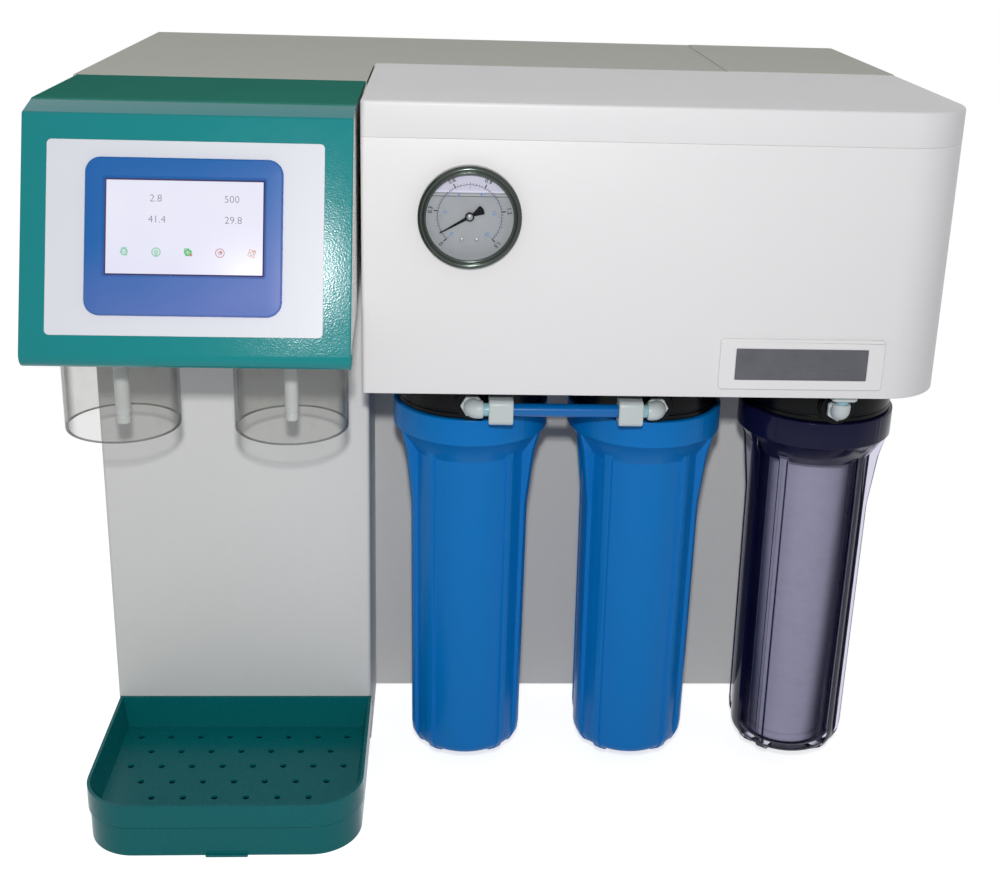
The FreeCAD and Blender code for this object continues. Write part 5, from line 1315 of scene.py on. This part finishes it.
@dataclass
class Filter:
    """One of the three housings: black cap, ribbed bowl, seal and cartridge."""

    number: int
    clear: bool
    deep: float = -105
    first: float = 285.2
    pitch: float = 133.2
    collar: float = 58.5
    neck: float = 57
    collar_low: float = 297
    collar_high: float = 317.5
    shoulder: float = 45.2
    shoulder_up: float = 279
    foot: float = 43.2
    low: float = 25
    soft: float = 8
    wall: float = 4
    bore: float = 51
    ledge: float = 46.5
    rib_reach: float = 3
    rib_low: float = 20
    rib_inner: float = 26
    flare_up: float = 237
    rib_turns: tuple[float, ...] = (-141, -115, -65, -39, 39, 65, 115, 141)
    flared_turns: tuple[float, ...] = (65, 115)
    column_turn: float = 4.6
    rib_section: tuple[Point, ...] = ((4.5, 0), (3.6, 0.06), (3.28, 0.24), (3.2, 0.72), (2.95, 0.93), (2.3, 1),
                                      (1.1, 1))
    threads: int = 5
    thread_low: float = 302.2
    thread_step: float = 3
    crest: float = 50.6
    root: float = 49.6
    boss: float = 8
    boss_top: float = 372
    boss_reach: float = 20
    bolt: float = 4.4
    port: float = 13
    port_bore: float = 6
    port_up: float = 331
    port_reach: float = 61
    core_low: float = 29.3
    core_high: float = 289
    core_end: float = 7
    core_rim: float = 32.5
    core_bore: float = 13

    @property
    def across(self) -> float:
        """The housing's place across the casing."""
        return self.first + self.pitch * (self.number - 1)

    def placed(self, form: Form) -> Form:
        """A turned form hung on the housing's axis."""
        return form.moved(self.across, self.deep)

    def ring_columns(self, wall: np.ndarray, flared: np.ndarray, straight: np.ndarray) -> np.ndarray:
        """Rings of the bowl whose columns follow the ribs' edges.

        Column j of a rib lies beside the rib's middle plane by u_j. Its distance along that plane is
        (1 - h_j) sqrt(r^2 - u_j^2) + h_j R, and its height (1 - h_j) z + h_j Z, where r and z are the
        wall's own and R and Z the rib's. Between two ribs the columns divide the wall evenly.

        Args:
            wall: The wall's radius and height in each ring.
            flared: The same of the ribs that flare out under the collar.
            straight: The same of the ribs that end on the shoulder.

        Returns:
            An array of rings, columns and coordinates.
        """
        half = np.array(self.rib_section, float)
        lateral = np.concatenate([-half[:, 0], [0], half[::-1, 0]])[None]
        rise = np.concatenate([half[:, 1], [1], half[::-1, 1]])[None]
        r, z = wall[:, :1], wall[:, 1:]
        beside = lateral * np.minimum(1, r / self.rib_inner)
        edge = np.degrees(np.arcsin(beside[:, -1:] / r))
        columns = []
        following = self.rib_turns[1:] + (self.rib_turns[0] + 360,)
        for here, beyond in zip(self.rib_turns, following):
            a = math.radians(here)
            rib = flared if abs(here) in self.flared_turns else straight
            along = (1 - rise) * np.sqrt(r ** 2 - beside ** 2) + rise * rib[:, :1]
            height = (1 - rise) * z + rise * rib[:, 1:]
            columns.append(np.stack([along * math.sin(a) + beside * math.cos(a),
                                     -along * math.cos(a) + beside * math.sin(a), height], axis=-1))
            share = np.linspace(0, 1, max(3, round((beyond - here) / self.column_turn)))[None, 1:-1]
            t = np.radians(here + edge + share * (beyond - here - 2 * edge))
            columns.append(np.stack([r * np.sin(t), -r * np.cos(t), z + 0 * t], axis=-1))
        return np.concatenate(columns, axis=1)

    def bowl(self) -> Form:
        """The bowl: foot, ribs, taper, shoulder and collar outside, and a plain wall inside."""
        taper = (self.shoulder - self.foot) / (self.shoulder_up - self.low)
        flare = self.foot + (self.flare_up - self.low) * taper
        reach, w, low = self.rib_reach, self.wall, self.low
        slope = (self.collar_low - self.shoulder_up) / (self.neck - self.shoulder)
        end_up = self.shoulder_up + reach * slope
        top = (self.neck, self.collar_low - 0.4, 0.5)
        mouth = self.foot + 0.15
        wall = [(25.2, low), (26, low), (33, low), (self.foot, low, self.soft), (mouth - 0.1, low + 10),
                (mouth, low + 17), (flare, self.flare_up), (self.shoulder, self.shoulder_up, 3),
                (self.shoulder + reach + 0.4, end_up + 0.5), top]
        foot = [(25.2, low), (26, self.rib_low, 1.5), (33, self.rib_low, 3), (41.2, low + 0.6, 7),
                (mouth + 2.1, low + 9, 14), (mouth + reach, low + 17, 10)]
        flared = foot + [(flare + reach, self.flare_up, 60), (52.6, self.shoulder_up), (53.8, end_up + 0.5), top]
        straight = foot + [(flare + reach, self.flare_up), (self.shoulder + reach, self.shoulder_up),
                           (self.shoulder + reach, end_up, 0.6), top]
        paths = np.hstack([rounded_path(corners, 0, 6, False) for corners in (wall, flared, straight)])
        moving = np.linalg.norm(np.diff(paths, axis=0), axis=1) > MERGE
        paths = paths[np.concatenate([[True], moving])]
        c = self.collar
        above = rounded_path([(self.neck, self.collar_low - 0.4), (c, self.collar_low + 0.4, 0.9),
                              (c, self.collar_high, 1.0), (self.bore, self.collar_high, 0.6),
                              (self.bore, self.collar_low), (self.ledge, self.collar_low, 0.4),
                              (self.shoulder - w, self.shoulder_up + w, 3), (self.foot - w, low + w, 6),
                              (2, low + w)], 0, 4, False)[5:]
        bottom = np.array([(2, low), (14, low), (21, low)])
        sides = [np.vstack([bottom, paths[:, n:n + 2], above]) for n in (0, 2, 4)]
        return loft(self.ring_columns(*sides))

    def cap(self) -> Form:
        """The black cap: threaded neck, skirt, dome, two bolted bosses and a port front and back."""
        steps = self.thread_low + self.thread_step * np.arange(self.threads)
        thread = [p for up in steps for p in ((self.crest, up, 0.3), (self.root, up + self.thread_step / 2, 0.3))]
        path = ([(AXIS, 282.3), (12.7, 282.3, 0.5), (12.7, 289.3), (20, 289.3), (20, 340), (45.7, 340, 3),
                 (45.7, 300.8), (50.4, 300.8, 0.5)] + thread
                + [(50.4, 317.8), (56, 317.8, 1), (56, 321.5, 0.4), (55.4, 322, 0.4), (55.4, 323.2, 0.4),
                   (56, 323.7, 0.4), (56, 340.5, 2.5), (53, 344.5, 2), (36, 366.5, 7), (31, 368, 3), (AXIS, 368)])
        whole = [turned(path, 112, 3, True, True)]
        top, bolt = self.boss_top, self.bolt
        boss = turned([(AXIS, top - 12), (self.boss, top - 12), (self.boss, top, 0.8), (bolt, top, 0.2),
                       (bolt, top - 2, 0.2), (AXIS, top - 2)], 40, 3, True, True)
        whole += [boss.moved(side * self.boss_reach) for side in (-1, 1)]
        reach, bore, collar = self.port_reach, self.port_bore, self.port
        port = turned_closed([(bore, reach - 15), (collar, reach - 15), (collar, reach - 3, 0.6),
                              (collar - 0.8, reach - 2.4, 0.4), (collar - 0.8, reach, 0.7), (bore, reach, 0.5)], 48, 3)
        ports = [form.moved(0, 0, self.port_up) for form in (port.facing_front(), port.facing_back())]
        return gathered(whole + ports)

    def cartridge(self) -> Form:
        """The cartridge: a core of medium between two moulded ends with rims."""
        low, high, end, rim = self.core_low, self.core_high, self.core_end, self.core_rim
        half = [(self.core_bore, low, 0.4), (rim - 1.5, low, 1.2), (rim, low + 2, 0.6), (rim, low + end, 0.6),
                (rim - 2, low + end + 0.6, 0.4)]
        return turned_closed(half + [(r, low + high - up, soft) for r, up, soft in half[::-1]], 80, 3)

    def build(self) -> None:
        """Makes the housing's pieces."""
        n = self.number
        bowl = Dress(SUMP_NAVY if self.clear else SUMP_BLUE, body="sump_%d" % n)
        piece("filter_bowl_%d" % n, self.placed(self.bowl()), bowl, ["filter_sump_%d" % n], 32)
        piece("filter_cap_%d" % n, self.placed(self.cap()), Dress(BLACK_PLASTIC),
              ["filter_head_%d" % n], 35)
        piece("filter_core_%d" % n, self.placed(self.cartridge()), Dress(MEDIUM, body="cartridge_%d" % n),
              ["filter_cartridge_%d" % n], 35)
        kept("sump_seal_%d" % n, RUBBER)


@dataclass
class FrontLine:
    """The fittings and tubes in front of the filters."""

    first: float = 285.2
    pitch: float = 133.2
    deep: float = -176
    up: float = 331
    bend: float = 6.0
    stem: float = 10
    arm: float = 11.5
    port_nut: float = 8.6
    port_nut_length: float = 4.2
    tube_bore: float = 3.2
    sleeve_length: float = 5.2
    sleeve_in: float = 5
    nut_half: float = 9.4
    nut_bore: float = 4.85
    nut_length: float = 17.5

    def elbow(self) -> Form:
        """An elbow with its stem behind and its arm to the right, and its port nut.

        The bend is a quarter circle, and the section is widest in its middle.
        """
        a = np.linspace(0, TURN / 4, 12)
        bend = self.bend * np.column_stack([1 - np.cos(a), 1 - np.sin(a), 0 * a])
        path = np.vstack([[0, self.stem, 0], bend, [self.arm - 4, 0, 0]])
        radii = np.concatenate([[6.4], 6.6 + 0.3 * np.sin(2 * a) ** 2, [6.2]])
        body = carried(path, radii, 32)
        corners = [(x, y, 0.8) for x, y, _ in circle(self.port_nut, 0, 6)]
        port_nut = prism(corners, block_rows(0, self.port_nut_length, 0.7), 4).facing_front()
        return gathered([body, port_nut.moved(0, self.stem)])

    def sleeve(self) -> Form:
        """The end of the tube between an elbow's arm and its nut."""
        outer, length = self.nut_bore - 0.1, self.sleeve_length
        path = [(self.tube_bore, 0), (outer, 0, 0.3), (outer, length), (self.tube_bore, length)]
        return turned_closed(path, 36, 2).facing_right().moved(self.arm - self.sleeve_in)

    def nut(self) -> Form:
        """A block nut along its own Z axis: a rounded square with a ring of small steps at its bore."""
        h = self.nut_half
        outer = rectangle(-h, -h, h, h, 4.2)
        body = stacked(outer, block_rows(0, self.nut_length, 1.1), 11)
        start, step = math.atan2(body[0][0][1], body[0][0][0]), self.nut_length - 1.2
        hole = [circle(r, up, len(body[0]), start) for r, up in
                ((6.2, self.nut_length), (6.2, step), (self.nut_bore, step), (self.nut_bore, 0))]
        return loft(np.array(body + hole), round_again=True)

    @staticmethod
    def trio(form: Form) -> list[Form]:
        """The form as it stands at the left, the right and the rising elbow."""
        return [form, form.laid((-1, 0, 0), (0, 1, 0), (0, 0, 1)), form.laid((0, 0, 1), (0, 1, 0), (-1, 0, 0))]

    def in_line(self, forms: Sequence[Form]) -> Form:
        """One form in front of each filter."""
        return gathered([form.moved(self.first + self.pitch * n, self.deep, self.up) for n, form in enumerate(forms)])

    def build(self) -> None:
        """Makes the elbows, the sleeves and the nuts, and dresses the tubes."""
        nut = self.nut().moved(0, 0, self.arm)
        nuts = [nut.facing_right(), nut.laid((0, 1, 0), (0, 0, 1), (-1, 0, 0)), nut]
        white = Dress(WHITE_FITTING)
        piece("front_elbows", self.in_line(self.trio(self.elbow())), white, ["elbow_fittings"])
        piece("front_sleeves", self.in_line(self.trio(self.sleeve())), Dress(TUBE_END, "white_fitting"))
        piece("front_nuts", self.in_line(nuts), white, ["union_nuts"])
        eased("link_tube", Dress(BLUE_TUBE), 0.2)
        eased_each(Dress(OUTLET_WHITE), 0.2, "riser_tube", "rear_port_tubes")
        # The bracket carries painted shade: the near-black of the shadow under the cabinet.
        eased("filter_bracket", Dress(BRACKET_SHADE_DARK, "steel"), 0.5)


@dataclass
class Service:
    """What sits at the back and inside: inlet, fittings, vessels, pump, supply and board."""

    def build(self) -> None:
        """Dresses the pieces."""
        eased("power_inlet", Dress(BLACK_PLASTIC), 0.3)
        eased("rocker_switch", Dress(BLACK_PLASTIC, body="rocker"), 0.3)
        eased("bulkhead_fittings", Dress(BLACK_PLASTIC), 0.3)
        eased("dispense_manifold", Dress(WHITE_FITTING), 0.5)
        eased_each(Dress(VESSEL_WHITE), 0.8, "membrane_housing", "polishing_column")
        eased("booster_pump", Dress(PUMP_GREY), 0.6)
        eased("power_supply", Dress(SUPPLY_ZINC), 0.5)
        eased("control_board", Dress(ELECTRONICS), 0.1)


# Camera and surroundings
@dataclass
class Camera:
    """The camera's place, its three turns in degrees, its lens and its shift."""

    place: Point = (-0.046309, -1.109217, 0.682591)
    yaw: float = 3.329
    pitch: float = 18.947
    roll: float = -1.769
    lens: float = 51.363
    shift: Point = (-0.0225, -0.0618)

    def build(self) -> None:
        """Aims the camera along w, with r level to its right and d down, and rolls it about w."""
        a, b, c = (math.radians(v) for v in (self.yaw, self.pitch, self.roll))
        w = Vector((math.sin(a) * math.cos(b), math.cos(a) * math.cos(b), -math.sin(b)))
        level = Vector((math.cos(a), -math.sin(a), 0))
        down = w.cross(level)
        right = level * math.cos(c) + down * math.sin(c)
        down = down * math.cos(c) - level * math.sin(c)
        data = bpy.data.cameras.new("Camera")
        data.lens, data.sensor_width, data.sensor_fit = self.lens, 36, "HORIZONTAL"
        data.shift_x, data.shift_y = self.shift
        data.clip_start, data.clip_end = 0.05, 50
        camera = linked("Camera", data)
        turn = Matrix((right, -down, -w)).transposed()
        camera.matrix_world = Matrix.LocRotScale(Vector(self.place), turn.to_quaternion(), None)
        bpy.context.scene.camera = camera


@dataclass(frozen=True)
class Lamp:
    """A square lamp: its place, what it is aimed at, its side in metres and its power."""

    name: str
    place: Point
    aim: Point
    side: float
    watts: float

    def build(self) -> bpy.types.Object:
        """Hangs the lamp."""
        data = bpy.data.lights.new(self.name, "AREA")
        data.energy, data.size = self.watts, self.side
        lamp = linked(self.name, data)
        lamp.location = self.place
        lamp.rotation_euler = (Vector(self.aim) - Vector(self.place)).to_track_quat("-Z", "Y").to_euler()
        return lamp


@dataclass
class Studio:
    """The plain room: a pale floor, a white backdrop and a lamp by the camera."""

    floor_half: float = 4.0
    room: tuple[float, ...] = (0.94, 0.96, 1.0, 1.0)
    room_light: float = 0.38
    floor_colour: tuple[float, ...] = (0.8, 0.8, 0.81, 1.0)
    floor_light: float = 0.72
    lamp: Lamp = Lamp("Front lamp", (-0.05, -1.11, 0.79), (0.05, 0.0, 0.3), 0.035, 6.2)

    @staticmethod
    def seen(tree: Tree) -> Wire:
        """Where a ray comes from the camera, or by way of gloss or clear plastic."""
        camera, glossy, clear = (tree.node("ShaderNodeLightPath", output=name)
                                 for name in ("Is Camera Ray", "Is Glossy Ray", "Is Transmission Ray"))
        return camera.maths("MAXIMUM", camera.maths("MAXIMUM", camera, glossy), clear)

    def floor(self) -> bpy.types.Object:
        """The floor: matt and pale, and lifted to white where it is seen outside the shadow."""
        tree = Tree(bpy.data.materials.new("studio_floor"))
        matt = tree.node("ShaderNodeBsdfDiffuse", None, {"Color": self.floor_colour})
        glow = tree.node("ShaderNodeEmission", None, {"Color": WHITE,
                                                      "Strength": self.seen(tree) * self.floor_light})
        material = tree.shown(tree.node("ShaderNodeAddShader", None, {0: matt, 1: glow}))
        h = self.floor_half
        mesh = bpy.data.meshes.new("Studio floor")
        mesh.from_pydata([(-h, -h, 0), (h, -h, 0), (h, h, 0), (-h, h, 0)], [], [(0, 1, 2, 3)])
        mesh.materials.append(material)
        return linked("Studio floor", mesh)

    def world(self) -> None:
        """The room's light, and white where it is seen."""
        tree = Tree(bpy.data.worlds.new("Studio"))
        soft = tree.node("ShaderNodeBackground", None, {"Color": self.room, "Strength": self.room_light})
        white = tree.node("ShaderNodeBackground", None, {"Color": WHITE, "Strength": 1.0})
        bpy.context.scene.world = tree.shown(
            tree.node("ShaderNodeMixShader", None, {0: self.seen(tree), 1: soft, 2: white}))

    def build(self) -> None:
        """Sets up the room."""
        self.world()
        self.floor()
        self.lamp.build()
        bpy.context.scene.view_settings.view_transform = "Standard"


def main() -> None:
    """Dresses the water system and sets the camera and the room."""
    logging.basicConfig(level=logging.INFO, format="%(message)s")
    head = Head()
    parts = [Casing(), Cabinet(), head, Display(head), Outlet("left", head, 45, 5.25, 328),
             Outlet("right", head, 160, 4.75, 331), Tray(), Gauge()]
    parts += [Filter(n, n == 3) for n in (1, 2, 3)] + [FrontLine(), Service(), Camera(), Studio()]
    for part in parts:
        part.build()


if __name__ == "__main__":
    main()
